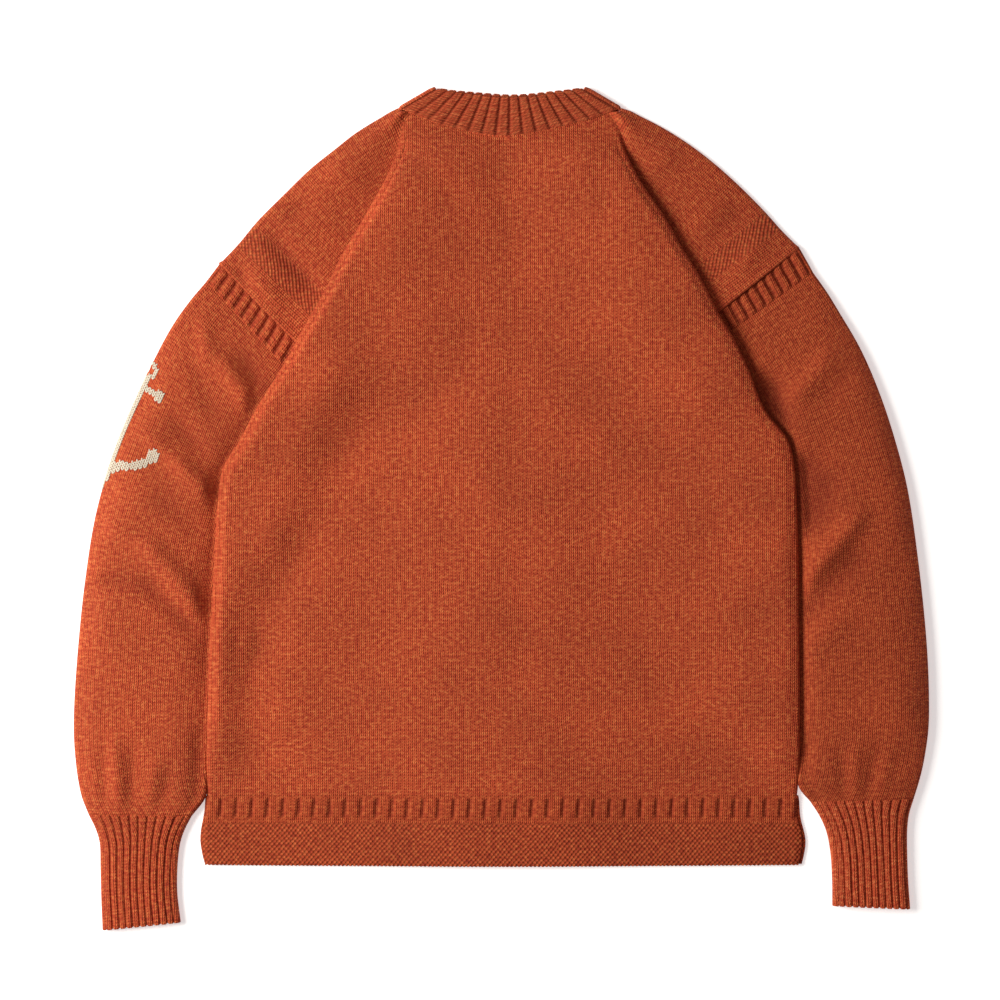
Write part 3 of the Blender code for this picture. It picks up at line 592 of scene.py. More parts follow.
# %% Lines of the shoulder
def square_to(line, pick, wanted):
    """Plan directions square to a line, turned so that one coordinate has a wanted sign."""
    run = np.concatenate([line[1:2] - line[:1], line[2:] - line[:-2], line[-1:] - line[-2:-1]])
    run = unit(run)
    turned = np.stack([-run[:, 1], run[:, 0]], axis=1)
    return turned * np.where(turned[:, pick:pick + 1] * wanted < 0, -1.0, 1.0)


def shoulder_lines(side):
    """Outline, pleat edge, and the plan directions across both, for each pleat row."""
    table = np.array(PLEAT_ROWS)
    first = 1 if side < 0 else 3
    fold, outline = table[:, first:first + 2], table[:, first + 4:first + 6]
    share = (np.linspace(0.0, 1.0, len(table))[:, None]) ** 2
    direct = unit(outline - fold)
    out = unit(square_to(outline, 1, 1.0) * (1 - share) + direct * share)
    across = unit(square_to(fold, 0, side) * (1 - share) + direct * share)
    return outline, fold, out, across


# %% Pleat beside the shoulder
# Cells of the edge roll, the tuck, the hidden roll, the arm and the rim.
EDGE_CELLS, TUCK_CELLS, HIDDEN_CELLS, ARM_CELLS, RIM_CELLS = 10, 4, 7, 24, 7
ARM_SWELL, EDGE_DROP = 3.2, (0.0, 0.0, 0.8)


def pleat_grid(side, back):
    """Middle points of the pleat rows, from the start of the roll to the outline.

    The edge roll is an arc of the row's turn, then the tuck runs straight, the hidden
    roll turns back, and a straight arm ends in the rolled edge of the shoulder. On the
    back the arm swells by half a sine of its share to a power.
    """
    table = np.array(PLEAT_ROWS)
    outline, fold, out, across = shoulder_lines(side)
    if not back:
        inward = [(8.6 * side, -4.0), (2.0 * side, -1.0)]
        fold = fold + np.pad(inward, ((0, len(fold) - 2), (0, 0)))
    turn, tuck = np.radians(table[:, 9:10]), table[:, 10:11]
    edge, hidden = pleat_radii(turn)
    low = BACK_MID + neck_ease(fold[:, 1:2]) if back else np.full_like(turn, FLOOR_MID)
    top = low + pleat_drop(turn, tuck)
    start = fold - across * (HALF + edge * np.sin(np.minimum(turn, np.pi / 2)))
    if not back:
        edge, hidden = edge - PITCH, hidden + PITCH
    angle = turn * np.linspace(0.0, 1.0, EDGE_CELLS + 1)
    along, high = edge * np.sin(angle), top - edge * (1 - np.cos(angle))
    straight = tuck * np.linspace(0.0, 1.0, TUCK_CELLS + 1)[1:]
    along = np.hstack([along, along[:, -1:] + straight * np.cos(turn)])
    high = np.hstack([high, high[:, -1:] - straight * np.sin(turn)])
    rest = turn * np.linspace(1.0, 0.0, HIDDEN_CELLS + 1)[1:]
    along, high = (np.hstack([along, along[:, -1:] + hidden * (np.sin(turn) - np.sin(rest))]),
                   np.hstack([high, high[:, -1:] - hidden * (np.cos(rest) - np.cos(turn))]))
    grid = np.dstack([start[:, None] + across[:, None] * along[..., None], high])
    inset = HALF + (EDGE_ROLL if back else FRONT_ROLL)
    end = np.hstack([outline - out * inset, low])[:, None]
    share = np.linspace(0.0, 1.0, ARM_CELLS + 1)[1:, None]
    arm = grid[:, -1:] + (end - grid[:, -1:]) * share
    if not back:
        return np.concatenate([grid, arm], axis=1)
    arm[..., 2] += ARM_SWELL * np.sin(np.pi * share[:, 0] ** (1.8 - 0.5 * side))
    bend = np.radians(np.linspace(0.0, 90.0, RIM_CELLS + 1))[1:]
    slide = HALF + EDGE_ROLL * (1 - np.sin(bend))
    rim = np.dstack([outline[:, None] - out[:, None] * slide[None, :, None],
                     low - EDGE_ROLL * (1 - np.cos(bend))])
    return np.concatenate([grid, arm, rim, rim[:, -1:] - EDGE_DROP], axis=1)


print("pleat grid:", pleat_grid(-1, True).shape)


# %% Side edge below the underarm
# Columns that the pleat and the side edge share: the roll's cells, and its end.
SHARED = RIM_CELLS + 2


def side_grid(side, back):
    """Middle points round the side edge: a quarter circle and its end, or one column.

    The roll narrows from the pleat's radius to the edge's over the first rows.
    """
    table = np.array(SIDE_ROWS)
    line = table[:, 1:3] if side < 0 else table[:, 3:5]
    out = square_to(line, 0, side)
    share = np.ones((len(line), 1))
    share[:2, 0] = 0.45, 0.8
    if not back:
        end = line - out * (HALF + PLEAT_ROLL + (FRONT_ROLL - PLEAT_ROLL) * share)
        return np.hstack([end, front_z(end[:, :1], end[:, 1:])])[:, None]
    roll = PLEAT_ROLL + (EDGE_ROLL - PLEAT_ROLL) * share
    bend = np.radians(np.linspace(0.0, 90.0, RIM_CELLS + 1))
    slide = HALF + roll * (1 - np.sin(bend))
    start = line - out * (HALF + roll)
    high = back_z(start[:, :1], start[:, 1:]) - roll * (1 - np.cos(bend))
    grid = np.dstack([line[:, None] - out[:, None] * slide[..., None], high])
    return np.concatenate([grid, grid[:, -1:] - EDGE_DROP], axis=1)


print("side grid:", side_grid(-1, True).shape)

# %% Neckline and the neckband's seam
# Front neckline, one point for each of the first seven rows.
FRONT_NECK = [
    # left_x, right_x, y
    (-80.0, 93.8, 338.0),
    (-76.8, 91.0, 328.5),
    (-70.0, 84.0, 313.0),
    (-64.5, 78.5, 305.5),
    (-57.0, 71.0, 298.0),
    (-36.0, 50.0, 284.0),
    (-12.3, 20.3, 274.0),
]

# Neckband over the back: its seam on the back and its free edge.
BAND_BACK = [
    # seam_x, seam_y, free_x, free_y
    (-90.6, 350.9, -60.8, 368.3),
    (-62.6, 338.8, -46.0, 365.2),
    (-33.7, 330.0, -30.0, 363.4),
    (-13.6, 326.1, -14.0, 361.8),
    (7.4, 325.3, 7.4, 360.4),
    (29.3, 328.4, 28.0, 361.6),
    (50.3, 333.2, 44.0, 363.6),
    (80.0, 341.0, 60.0, 365.6),
    (105.4, 350.9, 75.7, 368.3),
]
print("neckline points:", len(FRONT_NECK), "seam points:", len(BAND_BACK))

# %% Folds of the back
# Soft dips and ridges of shoulders and back: both ends, height, width.
SHOULDER_FOLDS = [
    (-202.6, 238.0, -164.0, 192.0, -4.2, 10.0), (-214.0, 198.0, -196.0, 180.0, 3.6, 9.0),
    (-189.0, 258.0, -172.0, 264.0, -2.6, 9.0), (-232.0, 214.0, -226.0, 196.0, -2.6, 7.0),
    (-150.0, 300.0, -122.0, 285.0, 1.8, 12.0), (212.0, 262.0, 184.0, 236.0, -2.2, 11.0),
    (226.0, 232.0, 208.0, 208.0, 2.0, 8.0), (150.0, 312.0, 128.0, 292.0, 1.8, 12.0),
]
BACK_FOLDS = SHOULDER_FOLDS + [
    (-70.0, 300.0, -34.0, 266.0, -1.6, 12.0), (84.0, 302.0, 94.0, 256.0, -1.6, 12.0),
    (-94.0, 136.0, -170.0, -26.0, -2.6, 24.0), (-170.0, -26.0, -218.0, -121.0, -4.4, 24.0),
    (-218.0, -121.0, -219.0, -215.0, -4.4, 22.0), (-10.0, 250.0, -10.0, -150.0, 1.0, 16.0),
    (20.0, 240.0, 20.0, -150.0, -0.6, 16.0), (-30.0, 323.0, 18.0, 321.0, -1.5, 5.0),
    (90.0, 120.0, 150.0, -60.0, 1.6, 40.0), (-148.0, 130.0, -204.0, -40.0, 2.6, 20.0),
]
print("folds of the back:", len(BACK_FOLDS))


# %% Rows and laid height of a panel
CLEAR = 2.6


def row_steps(pitch):
    """Fine rows between two table rows: the longest plan distance over the pitch."""
    pleats, sides = np.array(PLEAT_ROWS), np.array(SIDE_ROWS)
    lines = [np.concatenate([pleats[:, n:n + 2], sides[:, n:n + 2]]) for n in (1, 3)]
    chords = [np.linalg.norm(np.diff(line, axis=0), axis=1) for line in lines]
    for n in (5, 7):
        rim = np.linalg.norm(np.diff(pleats[:, n:n + 2], axis=0), axis=1)
        chords.append(np.pad(rim, (0, len(chords[0]) - len(rim))))
    return np.ceil(np.max(chords, axis=0) / pitch).astype(int)


def laid_height(x, y, z, share):
    """The back's height with its waver, swell and folds, and clear above the fronts."""
    calm = smooth((330.0 - y) / 30.0) * smooth((y + 250.0) / 30.0)
    z = z + (0.9 + ripple(x, y, 0.7)) * calm * smooth((1.0 - share) / 0.05)
    inner_part = smooth((1.0 - share) / 0.06)
    z = z + crown(x, y) + folds(x, y, BACK_FOLDS) * inner_part
    return z + np.maximum(front_z(x, y) + CLEAR - z, 0.0) * inner_part


print("fine rows of the back:", int(row_steps(FINE_ROWS).sum()) + 1)


# %% Half a panel
def half_panel(side, back, start_x, columns, pitch):
    """Half of the back, or one front, as a grid from the centre out.

    Inner points run straight in x; their y goes from the row's start to the pleat by
    the square of the share, or along the neck curve in the first rows. Height comes
    from back_z or front_z, plus the miss at the pleat times the share to the power 4.
    """
    shared = SHARED if back else 1
    pleats = pleat_grid(side, back)
    edge = np.concatenate([pleats[:, :shared], side_grid(side, back)])
    begin = np.array([(start_x, row[0]) for row in PLEAT_ROWS + SIDE_ROWS])
    if not back:
        neck = np.array(FRONT_NECK)
        begin[:len(neck)] = neck[:, [0 if side < 0 else 1, 2]]
    steps = row_steps(pitch)
    edge, begin = spline(edge, steps), spline(begin, steps)
    folded = spline(pleats[:, shared:], steps[:len(pleats) - 1])
    number = np.concatenate([[0.0], np.cumsum(np.repeat(1.0 / steps, steps))])[:, None]
    rows = np.arange(8.0)
    share = np.linspace(0.0, 1.0, columns + 1)[:-1]
    end = edge[:, 0, :2]
    x = begin[:, :1] + (end[:, :1] - begin[:, :1]) * share
    if back:
        curve = np.interp(number, rows, (1.0, 0.6, 0.3, 0.1, 0.0, 0.0, 0.0, 0.0))
        hump = np.interp(number, rows, (0.0, 0.9, 0.9, 0.9, 0.9, 0.9, 0.9, 0.0))
        seam = np.array(BAND_BACK)
        lowest = PLEAT_ROWS[0][0]
        arc = np.interp(x, seam[:, 0], seam[:, 1]) - lowest
        arc = arc / (np.interp(end[:, :1], seam[:, 0], seam[:, 1]) - lowest)
        bend = share ** 2 * (1 - curve) + arc * curve
    else:
        curve = np.interp(number, rows, (1.0, 1.0, 1.0, 0.0, 0.0, 0.0, 0.0, 0.0))
        bend = share ** 2 * (1 - curve) + share * curve
        hump = 0.0
    y = begin[:, 1:] + (end[:, 1:] - begin[:, 1:]) * bend
    height = back_z if back else front_z
    miss = edge[:, :1, 2] - height(end[:, :1], end[:, 1:])
    z = height(x, y) + hump * np.sin(np.pi * share) + miss * share ** 4
    if back:
        z = laid_height(x, y, z, share)
        arm = (np.arange(folded.shape[1]) - 12.0) / 24.0
        window = smooth(arm / 0.2) * smooth((1.0 - arm) / 0.15)
        folded[..., 2] += window * folds(folded[..., 0], folded[..., 1], BACK_FOLDS)
    return np.dstack([x, y, z]), edge, folded


print("half of the back:", [part.shape for part in half_panel(-1, True, CENTRE, 4, 50.0)])

# %% [markdown]
# Wool keeps the direction of its stitches when it is folded, so each point carries its
# own knit coordinates in millimetres: u across the wales, v along them. On the
# shoulders the photograph shows wales running in from the outline, with a strip of
# seed stitch parallel to the armhole. A mark called strip runs from 0 to 1 over it,
# and the outline's seam is a low ridge.

# %% Knit coordinates and marks of a panel
# Where the strip begins and ends, in mm up from the armhole, left and right.
STRIP = {-1: (22.5, 45.5), 1: (23.0, 42.5)}
BACK_COLUMNS, FRONT_COLUMNS = 76, 50


def panel(side, back, start_x, columns, pitch):
    """One half with its knit coordinates, strip mark, seam ridge and kept cells.

    Up to the tuck, u and v grow with the distance round the roll. On the shoulder they
    are the distances from the armhole and from the outline.
    """
    inner, edge, folded = half_panel(side, back, start_x, columns, pitch)
    reach, width = len(folded), inner.shape[1] + edge.shape[1]
    filler = np.repeat(edge[:, -1:], folded.shape[1], axis=1)
    filler[:reach] = folded
    middle = np.concatenate([inner, edge, filler], axis=1)
    keep = np.ones((len(middle) - 1, middle.shape[1] - 1), bool)
    keep[reach - 1:, width - 1:] = False
    round_roll = middle[:, inner.shape[1]:]
    away = unit(round_roll[:, 1:2, :2] - round_roll[:, :1, :2] + (1e-6 * side, 0.0))
    uv = np.concatenate([inner[..., :2], round_roll[:, :1, :2]
                         + away * travel(round_roll, 1)[..., None]], axis=1)
    strip, seam = np.full(middle.shape[:2], PLAIN), np.zeros(middle.shape[:2])
    if back:
        outline = filler[:reach, -1:]
        along = travel(outline[::-1], 0)[::-1]
        depth = travel(filler[:, ::-1], 1)[:, ::-1]
        near, far = STRIP[side]
        turned = width + SHARED
        uv[:reach, turned:] = np.dstack([np.broadcast_to(along, (reach, filler.shape[1])),
                                         depth[:reach]])[:, SHARED:]
        strip[:reach, turned:] = (along - near) / (far - near)
        seam[:reach, turned:] = (0.9 - 0.4 * side) * smooth(1.0 - along / 4.2)
    return middle, uv, strip, seam, keep


# %% The back
halves = [panel(side, True, CENTRE, BACK_COLUMNS, FINE_ROWS) for side in (-1, 1)]
middle, uv, strip, seam = (np.concatenate([left[:, :0:-1], right], axis=1)
                           for left, right in zip(halves[0][:4], halves[1][:4]))
keep = np.concatenate([halves[0][4][:, ::-1], halves[1][4]], axis=1)
# Painted shade: the wool is darkened in the dips of the shoulder folds.
hollow_shade = np.clip(-folds(middle[..., 0], middle[..., 1], SHOULDER_FOLDS) / 6.0, 0.0, 0.8)
cloth("knit_back", middle, uv, keep, over=HALF + seam, strip=strip, gap=hollow_shade)

# %% The fronts
for side, word in ((-1, "left"), (1, "right")):
    start_x = CENTRE + side * (BAND_HALF + SEAM)
    middle, uv, strip, _, keep = panel(side, False, start_x, FRONT_COLUMNS, COARSE_ROWS)
    cloth(f"knit_front_{word}", middle, middle[..., :2], keep, strip=strip, gap=0.0)

# %% [markdown]
# ## Ladder ribs and welts
# Ribs are raised wales with a sunk gap between them. A rib is a rounded step: its level
# is 0 in the gap and eases to 1 over about a quarter of the pitch. The level lifts the
# face of the wall and is kept as a mark, because wool in a gap gets less light and
# looks redder. At the hem a short ladder of ribs stands over a welt in garter stitch.

# %% Ribs and hem strips
def rib_level(turns, reach=0.24):
    """Level of a rib: distance to the nearest whole turn, eased over a part of a turn."""
    return smooth(np.abs(turns - np.round(turns)) / reach)


def welt_grid(side_x, rows, count, height):
    """Grid of a hem strip: straight rows between its two side edges, laid on the body."""
    fine = spline(np.array(rows, float), [4] * (len(rows) - 1))
    share = np.linspace(0.0, 1.0, count)
    x = fine[:, 1:2] + (fine[:, 2:3] - fine[:, 1:2]) * share
    sag = 1.2 * (1 - np.abs((x - CENTRE) / 262.0) ** 2) * smooth((-fine[:, :1] - 290.0) / 20.0)
    y = fine[:, :1] - (sag if side_x else 0.0)
    return np.dstack([x, y + 0.0 * x, height(x, y + 0.0 * x)]), share


LADDER_TOP, LADDER_FOOT = -253.6, -272.4


def hem_marks(y):
    """How much of a point is ladder, between two heights, and how much is garter welt."""
    ladder = smooth((LADDER_TOP - y) / 2.2) * smooth((y - LADDER_FOOT) / 2.6)
    return ladder, smooth((LADDER_FOOT - y) / 3.0)


# %% Hem of the back
HEM = [
    # y, left_x, right_x
    (-252.9, -258.9, 259.4), (-258.0, -259.2, 259.0), (-264.0, -259.6, 258.4),
    (-272.0, -260.9, 258.6), (-282.0, -262.8, 261.4), (-292.0, -263.4, 262.8),
    (-303.0, -261.8, 261.6), (-311.6, -259.8, 260.2),
]
BACK_RIBS, FRONT_RIBS = 38, 17
middle, share = welt_grid(True, HEM, BACK_RIBS * 16 + 1, back_z)
ladder, garter = hem_marks(middle[..., 1])
level = rib_level(BACK_RIBS * share)[None, :]
ends = smooth(np.minimum(share, 1 - share) * 519.0 / 5.0)
middle[..., 2] -= 1.1 * (1 - ends)
middle[-1, :, 1] -= 0.9 * np.abs(np.sin(np.pi * middle[-1, :, 0] / WALE))
# Painted shade in the gaps between the ladder's ribs.
cloth("hem_back", middle, middle[..., :2], over=HALF + ladder * (1.7 * level - 0.7),
      strip=garter * (BEADED - PLAIN) + PLAIN, gap=ladder * (1 - level))

# %% Hems of the fronts
FRONT_HEM = [(-252.9, 256.4), (-271.0, 257.6), (-292.0, 262.2), (-311.6, 259.4)]
for side, word in ((-1, "left"), (1, "right")):
    rows = [(y, *sorted((CENTRE + side * (BAND_HALF + SEAM), CENTRE + side * width)))
            for y, width in FRONT_HEM]
    middle, share = welt_grid(False, rows, 19 * 8 + 1, front_z)
    ladder, garter = hem_marks(middle[..., 1])
    level = rib_level(FRONT_RIBS * share)[None, :]
    # Painted shade in the gaps between the ladder's ribs.
    cloth(f"hem_front_{word}", middle, middle[..., :2], over=HALF + 0.2 * ladder * level,
          under=HALF - 0.5 * ladder * (1 - level),
          strip=garter * (BEADED - PLAIN) + PLAIN, gap=ladder * (1 - level))

# %% [markdown]
# ## Neckband
# One ribbed band runs round the neck. Over the back it stands up toward the camera's
# top edge, at each corner it folds round the shoulder, and it goes on along the
# fronts' neckline underneath. A swept profile would twist at the folds, so the band is
# a row of columns instead, each straight from its seam to its free edge.

# %% Columns of the neckband
BAND_FRONT_FREE = [
    # left_x, right_x, y
    (-53.5, 68.0, 352.0),
    (-46.5, 60.5, 338.0),
    (-37.0, 51.0, 325.0),
    (-27.0, 41.0, 315.0),
    (-12.3, 20.3, 306.0),
]


def neckband_grid():
    """Columns of the neckband from the left front round the back to the right front.

    Each column runs straight from its seam point to its free point. Over the back the
    columns lie at even shares of both curves; at a corner they turn round the fold.
    """
    depth = np.array([0.0, 0.03, 0.08, 0.2, 0.35, 0.5, 0.65, 0.8, 0.9, 0.96, 1.0])
    depth = depth[:, None, None]
    back = np.array(BAND_BACK)
    runs = []

    def add(seam, free, height, ribs):
        away = unit(free - seam)
        points = seam + away * 0.5 + (free - seam) * depth
        points[-1] += away * (1.6 * rib_level(ribs)[:, None] - 0.8)
        z = height(points[..., 0], points[..., 1]) if callable(height) else height
        runs.append((np.dstack([points, z + 0.0 * points[..., 0]]), ribs))

    def front(side):
        pick = 0 if side < 0 else 1
        share = np.linspace(0.0, 1.0, 36)
        seam = np.array([(row[pick], row[2]) for row in FRONT_NECK])
        free = np.array([(row[pick], row[2]) for row in BAND_FRONT_FREE])
        order = slice(None, None, side)
        add(path_at(seam, share)[order], path_at(free, share)[order], front_z,
            5.0 + 9.0 * share[order])

    def corner(side):
        seam, free = (back[0] if side < 0 else back[-1]).reshape(2, 2)
        run = unit(free - seam)
        out = np.array([-run[1], run[0]])
        out = out * np.sign(out[0] * side)
        turn = np.radians(np.linspace(180.0, 0.0, 25))[::-side]
        slide = (-(HALF + NECK_ROLL) + NECK_ROLL * np.sin(turn))[:, None] * out
        add(seam + run * 0.6 + slide, free + run * 0.6 + slide,
            FLOOR_MID + NECK_ROLL * (1 + np.cos(turn)),
            np.linspace(0.0, 2.0, 25)[::side])

    front(-1)
    corner(-1)
    share = np.linspace(0.0, 1.0, 16 * 12 + 1)
    seam = path_at(back[:, :2], 0.022 + 0.956 * share)
    free = path_at(back[:, 2:], 0.042 + 0.916 * share)
    add(seam, free, back_z, 16.0 * share)
    corner(1)
    front(1)
    return np.concatenate([grid for grid, _ in runs], 1), np.concatenate([n for _, n in runs])


# %% The neckband
UPPER_LAYER = 3.6
# Only the upper layer has high ribs, and they fade at the seam and at the free edge.
middle, turns = neckband_grid()
top = middle[..., 2] > UPPER_LAYER
level = rib_level(turns)[None, :] * np.ones(middle.shape[:2])
fade = smooth(np.array([0.3, 0.8, 1.0, 1.0, 1.0, 1.0, 1.0, 1.0, 0.9, 0.6, 0.35]))[:, None]
knit = np.dstack([travel(middle, 1), travel(middle, 0)])
over = HALF + fade * np.where(top, 1.5 * level - 0.5, 0.15)
under = HALF - np.where(top, 0.0, 0.4 * (1 - level))
# Painted shade in the gaps between the ribs.
cloth("ribbed_neckband", middle, knit, over=over, under=under, gap=fade * (1 - level),
      strip=PLAIN)

# %% [markdown]
# ## Sleeves, sleeve tops and cuffs
# A sleeve is a tube laid flat: level underneath, rolled at both edges, and puffed on
# top by the air in it. One path parameter p runs round it: the underside, the outer
# roll, the puffed top, the part hidden under the body and the inner roll. The same
# function later carries the anchor, so its stitches sit exactly on the wool.

# %% Crossings of the sleeves, from the armhole to the cuff
LEFT_SLEEVE = [
    # outer_x, outer_y, inner_x, inner_y, outer_roll, inner_roll, puff
    (-259.0, 198.6, -166.2, 97.2, 1.9, 1.6, 0.6),
    (-274.5, 180.0, -178.0, 85.5, 2.3, 1.6, 2.2),
    (-290.9, 155.8, -190.0, 71.0, 2.8, 1.6, 4.0),
    (-317.2, 103.2, -211.0, 40.0, 3.3, 1.6, 6.4),
    (-339.1, 50.8, -220.0, 12.0, 3.6, 1.6, 8.0),
    (-354.8, -1.8, -224.4, -15.0, 3.8, 1.6, 8.6),
    (-365.0, -63.0, -227.6, -69.0, 3.8, 1.6, 8.6),
    (-371.4, -124.2, -233.4, -126.0, 3.8, 1.6, 8.2),
    (-374.6, -172.4, -243.6, -172.4, 3.8, 1.6, 7.8),
    (-374.9, -198.6, -254.6, -198.6, 3.8, 1.8, 7.4),
    (-373.8, -217.0, -257.0, -217.0, 3.7, 2.0, 6.8),
    (-371.2, -238.0, -257.4, -238.0, 3.5, 2.4, 6.0),
    (-368.0, -253.0, -259.4, -253.4, 3.3, 2.9, 4.6),
    (-362.0, -268.4, -271.5, -269.6, 3.2, 3.2, 3.0),
]
RIGHT_SLEEVE = [
    # outer_x, outer_y, inner_x, inner_y, outer_roll, inner_roll, puff
    (273.4, 206.5, 173.0, 135.0, 1.9, 1.6, 0.6),
    (284.6, 190.6, 183.6, 117.6, 2.3, 1.6, 2.2),
    (295.3, 173.2, 195.6, 97.6, 2.8, 1.6, 4.0),
    (315.4, 138.3, 206.0, 71.0, 3.3, 1.6, 6.0),
    (332.9, 97.1, 222.6, 46.0, 3.5, 1.6, 7.2),
    (346.9, 53.4, 228.0, 18.0, 3.7, 1.6, 8.2),
    (356.2, 15.8, 231.4, -7.0, 3.8, 1.6, 8.6),
    (366.4, -54.2, 235.0, -60.0, 3.8, 1.6, 8.6),
    (373.2, -124.2, 239.2, -126.0, 3.8, 1.6, 8.2),
    (374.9, -172.4, 246.6, -173.0, 3.8, 1.6, 7.8),
    (374.2, -195.0, 256.4, -196.0, 3.8, 1.8, 7.2),
    (371.6, -214.6, 259.8, -214.6, 3.6, 2.0, 6.4),
    (367.2, -235.6, 260.0, -242.6, 3.4, 2.4, 5.0),
    (361.4, -254.8, 270.8, -257.2, 3.2, 3.2, 3.0),
]
print("sleeve crossings:", len(LEFT_SLEEVE), len(RIGHT_SLEEVE))

# %% Crossings of sleeve tops and cuffs
LEFT_HEAD = [
    (-247.2, 214.4, -157.0, 121.6, 1.6, 1.6, 0.0),
    (-250.0, 210.6, -159.4, 115.4, 1.7, 1.6, 0.1),
    (-256.0, 202.6, -164.0, 102.8, 1.8, 1.6, 0.4),
    (-259.0, 198.6, -166.2, 97.2, 1.9, 1.6, 0.6),
]
RIGHT_HEAD = [
    (261.2, 228.4, 166.0, 153.0, 1.6, 1.6, 0.0),
    (264.4, 222.8, 168.0, 148.2, 1.7, 1.6, 0.1),
    (271.0, 211.0, 171.6, 138.8, 1.8, 1.6, 0.4),
    (273.4, 206.5, 173.0, 135.0, 1.9, 1.6, 0.6),
]
LEFT_CUFF = [
    (-362.0, -268.4, -271.5, -269.6, 3.2, 3.2, 2.8),
    (-356.0, -280.6, -277.6, -281.4, 3.2, 3.2, 2.4),
    (-352.4, -293.0, -281.6, -293.4, 3.2, 3.2, 2.1),
    (-351.6, -316.0, -284.0, -314.0, 3.2, 3.2, 1.9),
    (-351.0, -341.0, -284.2, -337.0, 3.2, 3.2, 1.8),
    (-349.8, -368.9, -281.3, -361.9, 3.2, 3.2, 1.7),
]
RIGHT_CUFF = [
    (361.4, -254.8, 270.8, -257.2, 3.2, 3.2, 2.8),
    (357.4, -268.0, 278.6, -269.2, 3.2, 3.2, 2.4),
    (355.8, -282.0, 284.6, -282.8, 3.2, 3.2, 2.1),
    (355.8, -303.0, 288.4, -302.6, 3.2, 3.2, 1.9),
    (356.6, -326.0, 289.8, -325.0, 3.2, 3.2, 1.8),
    (358.3, -350.4, 290.0, -347.4, 3.2, 3.2, 1.7),
]
print("cuff crossings:", len(LEFT_CUFF), len(RIGHT_CUFF))

# %% Folds of the sleeves
# Soft folds that run from the underarm across each sleeve: both ends, height, width.
FOLDS = {
    -1: [(-259.4, 166.0, -257.0, 132.0, 4.4, 8.0), (-247.2, 134.8, -214.0, 80.0, 5.0, 9.0),
         (-226.0, 134.0, -204.0, 100.0, -5.0, 8.0), (-268.0, 120.0, -252.0, 84.0, -1.8, 9.0),
         (-286.0, 76.0, -262.0, 50.0, -3.4, 9.0), (-307.6, 61.3, -281.3, 38.0, 3.8, 8.0),
         (-281.3, 38.0, -252.0, 8.0, 5.2, 9.0), (-300.0, 14.0, -262.0, -26.0, -2.2, 12.0),
         (-344.0, -17.5, -307.6, -33.3, 3.6, 8.0), (-307.6, -33.3, -258.0, -94.0, 6.0, 10.0),
         (-350.0, -62.0, -307.6, -69.0, -3.0, 8.0), (-307.6, -69.0, -264.0, -110.0, -4.0, 9.0),
         (-349.6, -222.0, -348.0, -256.0, -1.8, 5.0), (-338.5, -205.0, -334.0, -256.0, 2.2, 5.0),
         (-322.5, -214.0, -324.0, -256.0, -2.0, 5.5), (-303.0, -226.0, -308.0, -256.0, 1.8, 5.5),
         (-290.0, -228.0, -296.0, -256.0, -1.4, 5.0)],
    1: [(233.0, 112.0, 248.0, 78.0, -6.0, 13.0), (256.0, 94.0, 286.0, 132.0, 3.6, 9.0),
        (284.0, 96.0, 306.0, 122.0, -1.8, 10.0), (268.0, 44.0, 272.0, -18.0, -7.0, 16.0),
        (290.0, 30.0, 282.0, 0.0, -3.0, 12.0), (262.0, -68.0, 312.0, -8.0, 5.4, 9.0),
        (264.0, -94.0, 316.0, -40.0, -3.0, 12.0), (262.0, -130.0, 300.0, -96.0, 2.0, 12.0),
        (296.0, -215.0, 299.0, -250.0, -1.4, 5.0), (310.0, -210.0, 309.0, -250.0, 1.4, 5.0),
        (326.0, -214.0, 320.0, -250.0, -1.4, 5.0), (340.0, -212.0, 332.0, -250.0, 1.2, 5.0)],
}
print("sleeve folds:", len(FOLDS[-1]), len(FOLDS[1]))


# %% One crossing of a tube
def stations(table, side, pitch):
    """Fine crossings of a tube, with the width that the body leaves in sight added."""
    table = np.array(table, float)
    chords = np.linalg.norm(np.diff(table[:, :2], axis=0), axis=1)
    fine = spline(table, np.ceil(chords / pitch).astype(int))
    outer, inner = fine[:, None, :2], fine[:, None, 2:4]
    share = np.linspace(0.0, 1.0, 1600)
    line = outer + (inner - outer) * share[:, None]
    hidden = side * line[..., 0] < np.interp(line[..., 1], *PROFILE[side][:2])
    first = np.where(hidden.any(axis=1), share[hidden.argmax(axis=1)], 1.0)
    width = np.linalg.norm(fine[:, :2] - fine[:, 2:4], axis=1)
    seen = np.minimum(first * width - 3.0, width - HALF - fine[:, 5] - 1.0)
    return np.column_stack([fine, seen])


